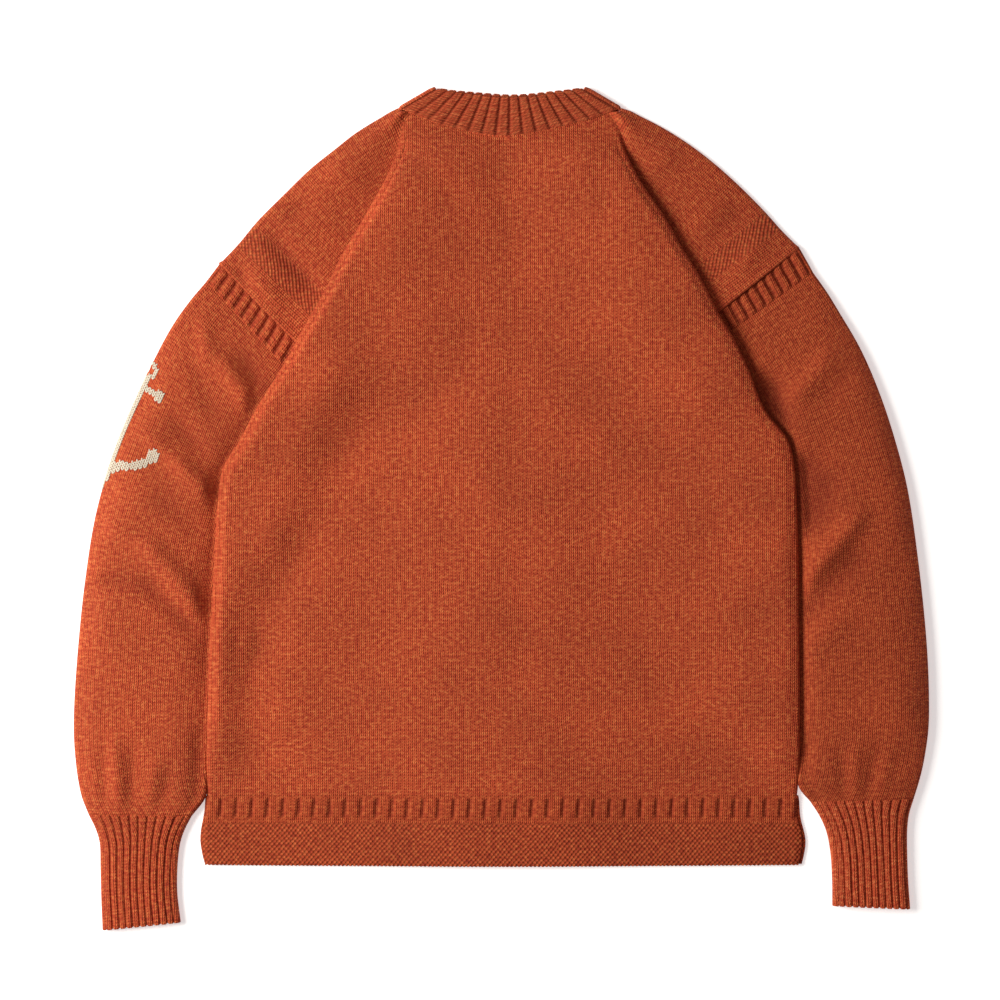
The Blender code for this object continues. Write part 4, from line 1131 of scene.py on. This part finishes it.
def crossing(row, p, side):
    """Middle points of a tube at path p.

    p from -2 to -1 is the level underside, to 0 the outer roll, to 1 the top, to 2 the
    part hidden under the body, to 3 the inner half circle. The top swells by 0.9 puff
    times 1 - (2 share - 1) to the power 4, or 6 on the right sleeve's inner half. The
    swell eases out where the inner edge is in sight, and the roll ends at its slope.
    """
    row = np.moveaxis(np.asarray(row), -1, 0)
    outer_x, outer_y, inner_x, inner_y, roll_out, roll_in, puff, seen = row
    width = np.hypot(inner_x - outer_x, inner_y - outer_y)
    left, right = HALF + roll_out, width - HALF - roll_in
    slope = np.arctan(7.2 * puff / (seen - left))
    share = np.clip(p, 0.0, 1.0)
    turn = (np.pi - slope) * np.clip(p + 1.0, 0.0, 1.0)
    back = np.pi * np.clip(p - 2.0, 0.0, 1.0)
    first = left - roll_out * np.sin(slope)
    first_z = HALF + roll_out * (1 + np.cos(slope))
    inner_top = HALF + 2 * roll_in
    power = np.where((share > 0.5) & (side > 0), 6, 4)
    in_sight = smooth((seen - right + 6.0) / 5.0)
    bulge = 0.9 * puff * (1 - (2 * share - 1) ** power)
    bulge = bulge * (1 - in_sight * (1 - smooth((1.0 - share) / 0.13)))
    parts = [p < -1.0, p < 0.0, p <= 1.0, p <= 2.0]
    a = np.select(parts, [right + (left - right) * (p + 2.0), left - roll_out * np.sin(turn),
                          first + (seen - first) * share,
                          seen + (right - seen) * np.clip(p - 1.0, 0.0, 1.0)],
                  right + roll_in * np.sin(back))
    z = np.select(parts, [HALF + 0.0 * a, HALF + roll_out * (1 - np.cos(turn)),
                          first_z + (inner_top - first_z) * share + bulge,
                          inner_top + 0.0 * a],
                  HALF + roll_in * (1 + np.cos(back)))
    x = outer_x + (inner_x - outer_x) * a / width
    y = outer_y + (inner_y - outer_y) * a / width
    soft = smooth(share / 0.16) * smooth((1.0 - share) / (0.12 - 0.03 * side))
    soft = soft * smooth((puff - 0.5) / 4.0)
    uneven = 0.3 + 1.1 * ripple(x * 1.2, y * 1.2, 1.3 * side) + folds(x, y, FOLDS[side])
    return np.stack([x, y, np.maximum(z + soft * uneven, np.minimum(z, 3.4))], axis=-1)


# %% Tubes of cloth
# Cells along the underside, the outer roll, the hidden part and the inner roll.
UNDER, ROLL, HIDDEN, INNER = 30, 10, 14, 8
LADDER_RIBS, CUFF_RIBS = 9, 10


def path_round(top):
    """Path parameters all round a tube, with a chosen number of cells on its top."""
    counts = (UNDER, ROLL, top, HIDDEN, INNER)
    return np.concatenate([np.linspace(n - 2.0, n - 1.0, count + 1)[:-1]
                           for n, count in enumerate(counts)])


def tube(name, table, side, top, pitch=FINE_ROWS, ribs=0, raised=0.0, seam_gap=0.6,
         under_ribs=0.0):
    """Closed tube of cloth with ribs on its top; the first row keeps the seam's gap.

    A ladder's bars are broader, they ease out at both ends, and its seam lies in shade.
    """
    rows = stations(table, side, pitch)
    p = path_round(top)
    middle = crossing(rows[:, None], p, side)
    run = middle[1] - middle[0]
    middle[0] += unit(run * (1.0, 1.0, 0.0)) * seam_gap
    around = travel(middle, 1)
    around = around - around[:, [UNDER + ROLL]] + 3.0      # u is 3 where the top begins
    length = travel(crossing(rows[:, None], np.array([0.0]), side), 0)
    ladder, on_top = ribs == LADDER_RIBS, (p >= 0) & (p <= 1)
    level = np.where(on_top, rib_level(ribs * p, 0.35 if ladder else 0.24), 1.0)[None, :]
    lower = np.where(p < -1, rib_level((ribs or 1) * (p + 2.0)), 1.0)[None, :]
    ends = smooth(length / 2.0) * smooth((length[-1] - length) / 2.0) if ladder else 1.0
    ends = ends * np.ones_like(length)
    sunk = 0.7 if ladder else 0.5
    over = HALF + raised * ends * np.where(on_top, (1 + sunk) * level - sunk, 0.0)
    over = over - under_ribs * (1 - lower)
    if under_ribs:
        edge = unit((middle[-1] - middle[-2]) * (1.0, 1.0, 0.0))
        middle[-1] += edge * (1.4 * (level * lower)[0, :, None] - 0.7)
    # Painted shade: darker wool in the gaps between ribs, along the ladder's seam and in the dips of the sleeve's
    # folds.
    if ladder:
        hollow_shade = np.maximum((1 - level) * ends, 0.9 * smooth(1.0 - length / 2.4))
    elif ribs:
        hollow_shade = 1 - level
    else:
        hollow_shade = np.clip(-folds(middle[..., 0], middle[..., 1], FOLDS[side]) / 6.0, 0.0, 1.0)
    cloth(name, middle, np.dstack([around, length + 0.0 * around]), over=over, closed=True,
          gap=hollow_shade, strip=PLAIN)
    return rows, length[:, 0]


# %% Both sleeves with their tops and cuffs
SLEEVES = {}
for side, word, head, sleeve, cuff in ((-1, "left", LEFT_HEAD, LEFT_SLEEVE, LEFT_CUFF),
                                       (1, "right", RIGHT_HEAD, RIGHT_SLEEVE, RIGHT_CUFF)):
    tube(f"ladder_top_{word}", head, side, LADDER_RIBS * 12, 1.6, LADDER_RIBS, 1.4, 0.7)
    SLEEVES[side] = tube(f"knit_sleeve_{word}", sleeve, side, 44)
    tube(f"ribbed_cuff_{word}", cuff, side, CUFF_RIBS * 12, ribs=CUFF_RIBS, raised=1.0,
         under_ribs=0.6)

# %% [markdown]
# ## Front bands
# The opening lies underneath, so it is only seen from below: two bands over each other,
# and six flat horn buttons that the garment's own weight presses into the lower one. A
# band is a slab whose underside follows a formula: level, with a round recess 2.45 mm
# deep at each button.

# %% Bands
BUTTON_Y = [282.0 - 112.0 * n for n in range(6)]


def slab(name, low, high, recess):
    """A band as a grid: x across, y along; the underside rises inside each recess."""
    x = CENTRE + np.linspace(-1.0, 1.0, 29) * (BAND_HALF - 0.6)
    y = np.linspace(305.0, -311.0, 330)
    x, y = np.meshgrid(x, y)
    middle = np.dstack([x, y, np.full_like(x, (low + high) / 2)])
    near = np.min([np.hypot(x - CENTRE, y - spot) for spot in BUTTON_Y], axis=0)
    sunk = recess * (1.0 - smooth((near - 10.4) / 1.6))
    thick = (high - low) / 2
    cloth(name, middle, np.dstack([y, x]), over=thick, under=thick - sunk, round_edge=0.6,
          strip=PLAIN, gap=0.0)


slab("button_band", 0.0, 4.0, 2.45)
slab("buttonhole_band", LAP, LAP + THICK, 0.0)

# %% [markdown]
# ## Buttons
# A horn button is turned on a lathe, so its shape is a profile carried round an axis:
# a rounded rim, a dished face and a level back. Four sewing holes are pressed into the
# face by distance. The garment lies face down, so the face is the lower side.


# %% Buttons
def button(name, middle_y):
    """A turned disc: profile radius and height, with a dimple round four hole centres.

    The rim touches the floor, the dish lies 0.6 mm above it, each hole 0.9 mm deeper
    and about 1.7 mm wide, and the back is level at 2.1 mm.
    """
    r = np.array([0.05, 0.8, 1.6, 2.2, 2.8, 3.4, 4.0, 4.8, 5.8, 6.6, 7.2, 8.0, 9.0, 9.6, 10.0,
                  10.0, 9.5, 8.6, 6.0, 3.0, 0.05])[:, None]
    z = np.array([0.6] * 8 + [0.55, 0.3, 0.05, 0.0, 0.06, 0.3, 0.8, 1.4, 1.9, 2.1, 2.1, 2.1,
                              2.1])[:, None]
    turn = np.linspace(0.0, 2 * np.pi, 49)[:-1]
    x, y = CENTRE + r * np.cos(turn), middle_y + r * np.sin(turn)
    holes = np.min([np.hypot(x - CENTRE - a, y - middle_y - b) for a in (-1.9, 1.9)
                    for b in (-1.9, 1.9)], axis=0)
    dimple = 0.9 * (1.0 - smooth((holes - 0.3) / 0.8)) * (np.arange(len(r)) < 9)[:, None]
    ids = np.arange(x.size).reshape(x.shape)
    ring = np.stack(corners(ids, True), axis=-1).reshape(-1, 4)
    caps = [ids[0].tolist(), ids[-1][::-1].tolist()]
    make(name, np.dstack([x, y, z + dimple]), ring[:, ::-1].tolist() + caps)


for n, middle_y in enumerate(BUTTON_Y):
    button(f"horn_button_{n + 1}", middle_y)
print("buttons", sum(name.startswith("horn") for name in pieces))

# %% [markdown]
# ## The anchor
# A small plain anchor is embroidered over the left sleeve's outer edge in off-white
# wool, in duplicate stitch: every chart square is a V laid over one knit stitch. The
# chart is a drawing rule of our own, counted in stitches: a ring, a stock with knobs,
# a shank, two curved arms with flukes and a point. Geometry shows the raised wool,
# which a painted mask could not.

# %% Chart of the anchor
CHART_HALF, CHART_HIGH = 13, 45


def anchor_chart():
    """Squares of the chart: across from -13 to 13 wales, up from 0 to 45 courses.

    Shank: one wale either side of the middle. Stock: two courses, five wales out, with
    a round knob at each end. Arms: height 8 plus 7 times the share across to the power
    2.2, three courses thick, each with a diamond fluke. Ring: distance 1.25 to 2.75
    from its centre. Point: narrows over the lowest seven courses.
    """
    up, across = np.mgrid[0:CHART_HIGH + 1, -CHART_HALF:CHART_HALF + 1]
    wide = np.abs(across)
    shank = (wide <= 1) & (up >= 4) & (up <= 40)
    stock = (np.abs(up - 36.5) <= 1.0) & (wide <= 5)
    knob = np.hypot(wide - 5.5, (up - 36.5) * 0.7) <= 1.5
    arm_y = 8.0 + 7.0 * (wide / 11.0) ** 2.2
    arms = (np.abs(up - arm_y) <= 1.6) & (wide <= 11)
    fluke = (np.abs(wide - 10.0) + np.abs(up - 15.5) * 0.6) <= 1.9
    ring = np.abs(np.hypot(across, (up - 42.5) * 0.76) - 2.0) <= 0.75
    point = (wide <= (up + 1.0) * 0.3) & (up <= 7)
    picked = shank | stock | knob | arms | fluke | ring | point
    return across[picked], up[picked]


across, up = anchor_chart()
print("chart squares:", len(up))

# %% [markdown]
# Each V has two legs of yarn, and a leg is a tube with pointed ends: seven rings of six
# points along a straight line that leans outward as it rises. The legs are placed in
# knit coordinates first, and only then carried onto the sleeve.

# %% Two legs of a stitch, in knit coordinates
RINGS, ROUND = 7, 6
t = np.linspace(0.0, 1.0, RINGS)
leg_u, leg_v = 0.12 + 1.35 * t, -1.5 + 3.3 * t
turn = np.radians(np.arange(0.0, 360.0, 360.0 / ROUND))
fat = 0.35 + 0.65 * np.sin(np.pi * np.clip(t, 0.04, 0.96)) ** 0.6
u = leg_u[:, None] + 0.72 * fat[:, None] * np.cos(turn)
v = leg_v[:, None] - 0.3 * fat[:, None] * np.cos(turn)
h = 0.15 + 0.62 * fat[:, None] * np.sin(turn)
u, v, h = np.stack([u, -u]), np.stack([v, v]), np.stack([h, h])
# The chart's middle lies 4 mm in from the sleeve's edge, its top 85 mm down the sleeve.
ANCHOR_IN, ANCHOR_DOWN = 4.0, 85.0
place_u = ANCHOR_IN + across[:, None, None, None] * WALE + u
place_v = ANCHOR_DOWN + (CHART_HIGH - up[:, None, None, None]) * COURSE - v
print("stitch", round(float(np.ptp(u)), 2), "by", round(float(np.ptp(v)), 2), "mm")


# %% From knit coordinates to the sleeve
def on_wool(row, reach):
    """Path parameter at a distance from the outer edge: half circle first, then flat."""
    roll, run = row[..., 4] + HALF, row[..., 7] - HALF - row[..., 4]
    quarter = roll * np.pi / 2
    top = np.where(reach > quarter, (reach - quarter) / run, 0.0)
    width = np.hypot(row[..., 0] - row[..., 2], row[..., 1] - row[..., 3])
    under = -1.0 - (-reach - quarter) / (width - 2 * roll)
    p = np.where(np.abs(reach) <= quarter, -0.5 + 0.5 * reach / quarter, top)
    return np.where(reach < -quarter, under, p)


def skin(row, p):
    """A point of the sleeve with its outward normal, from small steps both ways."""
    here = crossing(row, p, -1)
    step = crossing(row, p + 0.004, -1) - crossing(row, p - 0.004, -1)
    along = np.stack([-0.33 + 0 * p, -0.94 + 0 * p, 0 * p], axis=-1)
    normal = unit(np.cross(along, step))
    outward = np.where(p < -1.0, -1.0, 1.0)[..., None] * (0.0, 0.0, 1.0)
    outward = np.where((p >= -1.0)[..., None] & (p <= 0.0)[..., None], here * 0.0
                       + np.stack([np.sin(np.pi * p), 0 * p, np.sin(np.pi * (p + 0.5))], -1),
                       outward)
    return here, normal * np.sign((normal * outward).sum(axis=-1, keepdims=True))


# %% Anchor in duplicate stitch
rows, length = SLEEVES[-1]
number = np.interp(place_v, length, np.arange(len(length)))
low = np.clip(number.astype(int), 0, len(rows) - 2)
part = (number - low)[..., None]
row = rows[low] * (1 - part) + rows[low + 1] * part
here, normal = skin(row, on_wool(row, place_u))
points = here + normal * (HALF + h)[..., None]
points[..., 2] = np.maximum(points[..., 2], 0.05)
ids = np.arange(len(up) * 2 * RINGS * ROUND).reshape(-1, RINGS, ROUND)
beside = np.roll(ids, -1, 2)
quads = np.stack([ids[:, :-1], beside[:, :-1], beside[:, 1:], ids[:, 1:]], axis=-1)
quads = quads.reshape(-1, 4)
caps = np.concatenate([ids[:, 0, ::-1], ids[:, -1]])
make("anchor_stitches", points, quads.tolist() + caps.tolist())
print("anchor:", len(up), "stitches,", 2 * len(quads) + 4 * len(caps), "triangles")

# %% [markdown]
# ## Wool
# The wool is a five-ply worsted in a marl: dark, mid and bright rust fibres are spun together, so every stitch has a
# slightly different colour. Knitting gives two surfaces here. Stockinette is rows of V's, 3.44 mm wide and 2.6 mm
# high. Seed and garter stitch are beads, about 2 by 2.3 mm. Both are formulas of the knit coordinates, used for bump
# and for painted shade in the gaps between stitches. An image of knitting would be quicker, but a formula follows each
# piece and has no edge.

# %% Material helpers
def add(tree, kind, inputs=None, **settings):
    """Adds one shader node: settings are its properties, inputs its values or links."""
    node = tree.nodes.new("ShaderNode" + kind)
    for key, value in settings.items():
        setattr(node, key, value)
    for key, value in (inputs or {}).items():
        if isinstance(value, bpy.types.Node):
            value = value.outputs[0]
        if isinstance(value, bpy.types.NodeSocket):
            tree.links.new(value, node.inputs[key])
        else:
            node.inputs[key].default_value = value
    return node


def start(name, rough, sheen=0.0, tint="#FFFFFF"):
    """A new material with its shader; values the same all over go on the sockets."""
    material = bpy.data.materials.new(name)
    material.use_nodes = True
    shader = material.node_tree.nodes["Principled BSDF"]
    shader.inputs["Roughness"].default_value = rough
    shader.inputs["Specular IOR Level"].default_value = 0.25
    shader.inputs["Sheen Weight"].default_value = sheen
    shader.inputs["Sheen Roughness"].default_value = 0.5
    shader.inputs["Sheen Tint"].default_value = linear(tint)
    return material, material.node_tree, shader


# %% Height of the stitches
def stitch_height(tree, place):
    """Stockinette or beads, from 0 in the gaps to about 1, as the strip mark says.

    Stockinette: tri is 0 on a wale's middle and 1 between wales. A leg of the V is
    sin(pi tri) high, times 0.62 + 0.38 cos of its course, which leans 0.55 course.
    Beads: 0.17 plus 0.66 times the product of two cosines. Wool wanders a little, so
    slow noise moves the whole pattern by up to 1.3 mm.
    """
    wander = add(tree, "TexNoise", {"Vector": place, "Scale": 0.045, "Detail": 1.0})
    sway = add(tree, "VectorMath", {0: wander.outputs["Color"], 1: (0.5, 0.5, 0.5)},
               operation="SUBTRACT")
    moved = add(tree, "VectorMath", {0: sway, 1: (2.6, 2.6, 0.0), 2: place},
                operation="MULTIPLY_ADD")
    axes = add(tree, "SeparateXYZ", {0: moved})
    wale = add(tree, "Math", {0: axes.outputs[0], 1: 1 / WALE}, operation="MULTIPLY")
    fold = add(tree, "Math", {0: wale, 1: 0.5}, operation="PINGPONG")
    tri = add(tree, "Math", {0: fold, 1: 2.0}, operation="MULTIPLY")
    lean = add(tree, "Math", {0: tri, 1: -0.55}, operation="MULTIPLY")
    course = add(tree, "Math", {0: axes.outputs[1], 1: 1 / COURSE, 2: lean},
                 operation="MULTIPLY_ADD")
    turn = add(tree, "Math", {0: course, 1: 2 * math.pi}, operation="MULTIPLY")
    row = add(tree, "Math", {0: turn}, operation="COSINE")
    level = add(tree, "Math", {0: row, 1: 0.38, 2: 0.62}, operation="MULTIPLY_ADD")
    half_turn = add(tree, "Math", {0: tri, 1: math.pi}, operation="MULTIPLY")
    leg = add(tree, "Math", {0: half_turn}, operation="SINE")
    crest = add(tree, "Math", {0: leg, 1: level}, operation="MULTIPLY")
    heart = add(tree, "Math", {0: tri, 1: -0.22, 2: 0.22}, operation="MULTIPLY_ADD")
    stocking = add(tree, "Math", {0: crest, 1: heart}, operation="ADD")
    side = add(tree, "Math", {0: axes.outputs[0], 1: math.pi / 2.0}, operation="MULTIPLY")
    ahead = add(tree, "Math", {0: axes.outputs[1], 1: math.pi / 2.3}, operation="MULTIPLY")
    cos_side = add(tree, "Math", {0: side}, operation="COSINE")
    cos_ahead = add(tree, "Math", {0: ahead}, operation="COSINE")
    bead = add(tree, "Math", {0: cos_side, 1: cos_ahead}, operation="MULTIPLY")
    beads = add(tree, "Math", {0: bead, 1: 0.66, 2: 0.17}, operation="MULTIPLY_ADD")
    strip = add(tree, "Attribute", attribute_name="strip").outputs["Fac"]
    apart = add(tree, "Math", {0: strip, 1: 0.5}, operation="SUBTRACT")
    apart = add(tree, "Math", {0: apart}, operation="ABSOLUTE")
    seeded = add(tree, "MapRange", {"Value": apart, "From Min": 0.47, "From Max": 0.53,
                                    "To Min": 1.0, "To Max": 0.0})
    return add(tree, "Mix", {0: seeded.outputs[0], 2: stocking, 3: beads})


# %% Colour of the marl
def marl_colour(tree, place, dark, middle, bright):
    """Three colours of fibre on a noise, drawn out to streaks 4.6 mm long and 2.8 high."""
    yarn = add(tree, "VectorMath", {0: place, 1: (1 / 4.6, 1 / 2.8, 1.0)},
               operation="MULTIPLY")
    streak = add(tree, "TexNoise", {"Vector": yarn, "Scale": 1.0, "Detail": 3.0,
                                    "Roughness": 0.65})
    marl = add(tree, "ValToRGB", {"Fac": streak})
    ends = marl.color_ramp.elements
    ends[0].position, ends[1].position = 0.33, 0.68
    ends[0].color, ends[1].color = linear(dark), linear(bright)
    ends.new(0.5).color = linear(middle)
    return marl


# %% Knitted marl wool
def knitted_wool(name, dark, middle, bright, hollow_shade, deep=0.0007):
    """Worsted marl. Dull, hairy and matte, with painted shade in the fine gaps between the stitches.

    The marl is darkened to 0.64 in the gaps between stitches, as painted shade, clouded by a tenth over some 70 mm,
    and mixed with a darker red where the painted shade mark says: painted shade in the gaps between ribs and in the
    dips of folds. Fine noise adds the hairs.
    """
    material, tree, shader = start(name, 0.88, 0.12, bright)
    place = add(tree, "UVMap", uv_map="knit")
    stitch = stitch_height(tree, place)
    marl = marl_colour(tree, place, dark, middle, bright)
    cloud = add(tree, "TexNoise", {"Vector": place, "Scale": 0.014, "Detail": 2.0})
    patch = add(tree, "MapRange", {"Value": cloud, "From Min": 0.3, "From Max": 0.7,
                                   "To Min": 0.9, "To Max": 1.1})
    # Painted shade: the gaps between the stitches are darkened down to 0.64.
    shade = add(tree, "MapRange", {"Value": stitch, "From Min": 0.05, "From Max": 0.75,
                                   "To Min": 0.64, "To Max": 1.1})
    shade = add(tree, "Math", {0: shade, 1: patch}, operation="MULTIPLY")
    toned = add(tree, "VectorMath", {0: marl, "Scale": shade}, operation="SCALE")
    # Painted shade: where the mark says, the colour is mixed toward a darker red.
    gap = add(tree, "Attribute", attribute_name="gap").outputs["Fac"]
    sunk = add(tree, "Math", {0: gap, 1: 0.45}, operation="MULTIPLY")
    colour = add(tree, "Mix", {0: sunk, 6: toned, 7: linear(hollow_shade)}, data_type="RGBA")
    tree.links.new(colour.outputs[2], shader.inputs["Base Color"])
    spot = add(tree, "TexCoord").outputs["Object"]
    hair = add(tree, "TexNoise", {"Vector": spot, "Scale": 900.0, "Detail": 3.0})
    relief = add(tree, "Math", {0: hair, 1: 0.3, 2: stitch}, operation="MULTIPLY_ADD")
    bump = add(tree, "Bump", {"Height": relief, "Distance": deep, "Strength": 1.0})
    tree.links.new(bump.outputs[0], shader.inputs["Normal"])
    return material


# Three copies of one wool: a lighter one, painted light, for the ribbed bands and the right cuff, and a darker one,
# painted shade, for the other right-hand pieces and the hems.
rust = knitted_wool("rust_marl_worsted", "#A2351F", "#BE4E2B", "#D5713F", "#701C10")
rust_painted_shade = knitted_wool("rust_marl_worsted_painted_shade", "#99351C", "#B64A27", "#CE6839", "#681A0F")
rust_painted_light = knitted_wool("rust_marl_rib", "#AE3B22", "#CA5530", "#E37B4B", "#781E12")
print("wool materials", [material.name for material in (rust, rust_painted_shade, rust_painted_light)])

# %% [markdown]
# ## Embroidery wool and horn
# The anchor's yarn is bleached wool, softer spun than the rust, so only its fibres show.
# The buttons are polished horn: cut across a grain that runs through the whole button,
# so the pattern is a solid noise that is stretched one way.


# %% Cream wool and horn
def two_tone(tree, fac, low, high, first, second):
    """A ramp between two sRGB colours, from one share of a pattern to another."""
    tone = add(tree, "ValToRGB", {"Fac": fac})
    ends = tone.color_ramp.elements
    ends[0].position, ends[1].position = low, high
    ends[0].color, ends[1].color = linear(first), linear(second)
    return tone.outputs[0]


def cream_wool():
    """Bleached woollen yarn, softer than the rust: near white with warm shaded fibres."""
    material, tree, shader = start("cream_embroidery_wool", 0.92, 0.2)
    spot = add(tree, "TexCoord").outputs["Object"]
    fibre = add(tree, "TexNoise", {"Vector": spot, "Scale": 700.0, "Detail": 4.0})
    tone = two_tone(tree, fibre, 0.3, 0.7, "#B9AD98", "#DDD5C4")
    tree.links.new(tone, shader.inputs["Base Color"])
    bump = add(tree, "Bump", {"Height": fibre, "Distance": 0.0004})
    tree.links.new(bump.outputs[0], shader.inputs["Normal"])
    return material


def dark_horn():
    """Polished buffalo horn: dark brown with long paler grain, and a soft gloss."""
    material, tree, shader = start("polished_dark_horn", 0.32)
    shader.inputs["Specular IOR Level"].default_value = 0.5
    spot = add(tree, "TexCoord").outputs["Object"]
    grain = add(tree, "Mapping", {"Vector": spot, "Scale": (420.0, 70.0, 420.0),
                                  "Rotation": (0.0, 0.0, 0.5)})
    noise = add(tree, "TexNoise", {"Vector": grain, "Scale": 1.0, "Detail": 4.0})
    tone = two_tone(tree, noise, 0.35, 0.75, "#24140C", "#6E472B")
    tree.links.new(tone, shader.inputs["Base Color"])
    return material


cream, horn = cream_wool(), dark_horn()
print("other materials", cream.name, horn.name)


# %% Who wears what
def finish_of(name):
    """The material of a piece, by its name."""
    if name.startswith("anchor"):
        return cream
    if name.startswith("horn"):
        return horn
    # The ribbed bands and the right cuff wear the lighter copy: painted light.
    if "band" in name or name == "ribbed_cuff_right":
        return rust_painted_light
    # The other right-hand pieces and the hems wear the darker copy: painted shade.
    return rust_painted_shade if name.endswith("_right") or name.startswith("hem") else rust


for name, body in pieces.items():
    body.data.materials.append(finish_of(name))
print("dressed pieces:", len(pieces))

# %% [markdown]
# ## Handing over
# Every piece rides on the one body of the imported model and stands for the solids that
# it hides. The table also names the record's material slot of each piece and what the
# piece lies on. The cloth pieces are declared as sheets, with the size of their cut.

# %% Slots, sheets and rides
PLAN = {
    # piece: nodes that it replaces, slot, pieces or nodes that it lies on
    "knit_back": (("back",), "back_wool", ("front_left", "front_right", "sleeve_left",
                                           "sleeve_right", "band_right")),
    "knit_front_left": (("front_left",), "front_wool", ("sleeve_left",)),
    "knit_front_right": (("front_right",), "front_wool", ("sleeve_right", "band_left")),
    "hem_back": (("back_welt",), "welt_wool", ("front_welt_left", "front_welt_right")),
    "hem_front_left": (("front_welt_left",), "welt_wool", ("back_welt",)),
    "hem_front_right": (("front_welt_right",), "welt_wool", ("band_left",)),
    "ribbed_neckband": (("neckband",), "rib_wool", ("front_left", "front_right")),
    "ladder_top_left": (("sleeve_head_left",), "sleeve_left_wool", ("sleeve_left",)),
    "ladder_top_right": (("sleeve_head_right",), "sleeve_right_wool", ("sleeve_right",)),
    "knit_sleeve_left": (("sleeve_left",), "sleeve_left_wool", ("sleeve_head_left",)),
    "knit_sleeve_right": (("sleeve_right",), "sleeve_right_wool", ("sleeve_head_right",)),
    "ribbed_cuff_left": (("cuff_left",), "rib_wool", ("sleeve_left",)),
    "ribbed_cuff_right": (("cuff_right",), "rib_wool", ("sleeve_right",)),
    "button_band": (("band_left",), "band_wool", ("button_1",)),
    "buttonhole_band": (("band_right",), "band_wool", ("band_left",)),
    "anchor_stitches": ((), "rib_wool", ()),
}
for n in range(6):
    PLAN[f"horn_button_{n + 1}"] = ((f"button_{n + 1}",), "button_horn", ())
for name, (nodes, slot, under) in PLAN.items():
    body = pieces[name]
    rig.ride(body, "root")
    if nodes:
        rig.replaces(body, *nodes)
    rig.slot(body, slot)
    if name in sheets:
        width, length, area = sheets[name]
        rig.sheet(body, flat=(width, length), held="laid", rests_on=list(under), area=area)
print("planned pieces:", len(PLAN))

# %% [markdown]
# ## The table under it
# The photograph's ground is pure white. A white sheet would look grey between the
# lights, so the paper glows a little. It still takes the soft shadow at the edges.

# %% Floor
span = np.linspace(-6000.0, 6000.0, 13)
x, y = np.meshgrid(span, span)
ids = np.arange(x.size).reshape(x.shape)
mesh = make("white_table", np.dstack([x, y, np.full_like(x, -0.2)]),
            np.stack(corners(ids, False), -1).reshape(-1, 4).tolist())
paper, tree, shader = start("white_paper", 0.9)
shader.inputs["Emission Color"].default_value = (1.0, 1.0, 1.0, 1.0)
shader.inputs["Emission Strength"].default_value = 0.5
grain = add(tree, "TexNoise", {"Scale": 60.0, "Detail": 2.0})
tone = add(tree, "MapRange", {"Value": grain, "To Min": 0.9, "To Max": 0.93})
tree.links.new(tone.outputs[0], shader.inputs["Base Color"])
mesh.materials.append(paper)
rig.stage(pieces.pop("white_table"))
print("floor faces:", len(mesh.polygons))

# %% Sizes and the end
with open("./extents.json", "w") as out:
    json.dump({"cad": [list(map(float, corner)) for corner in cad_box],
               "visual": [list(map(float, corner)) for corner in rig.bounds()]}, out)
print(open("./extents.json").read())
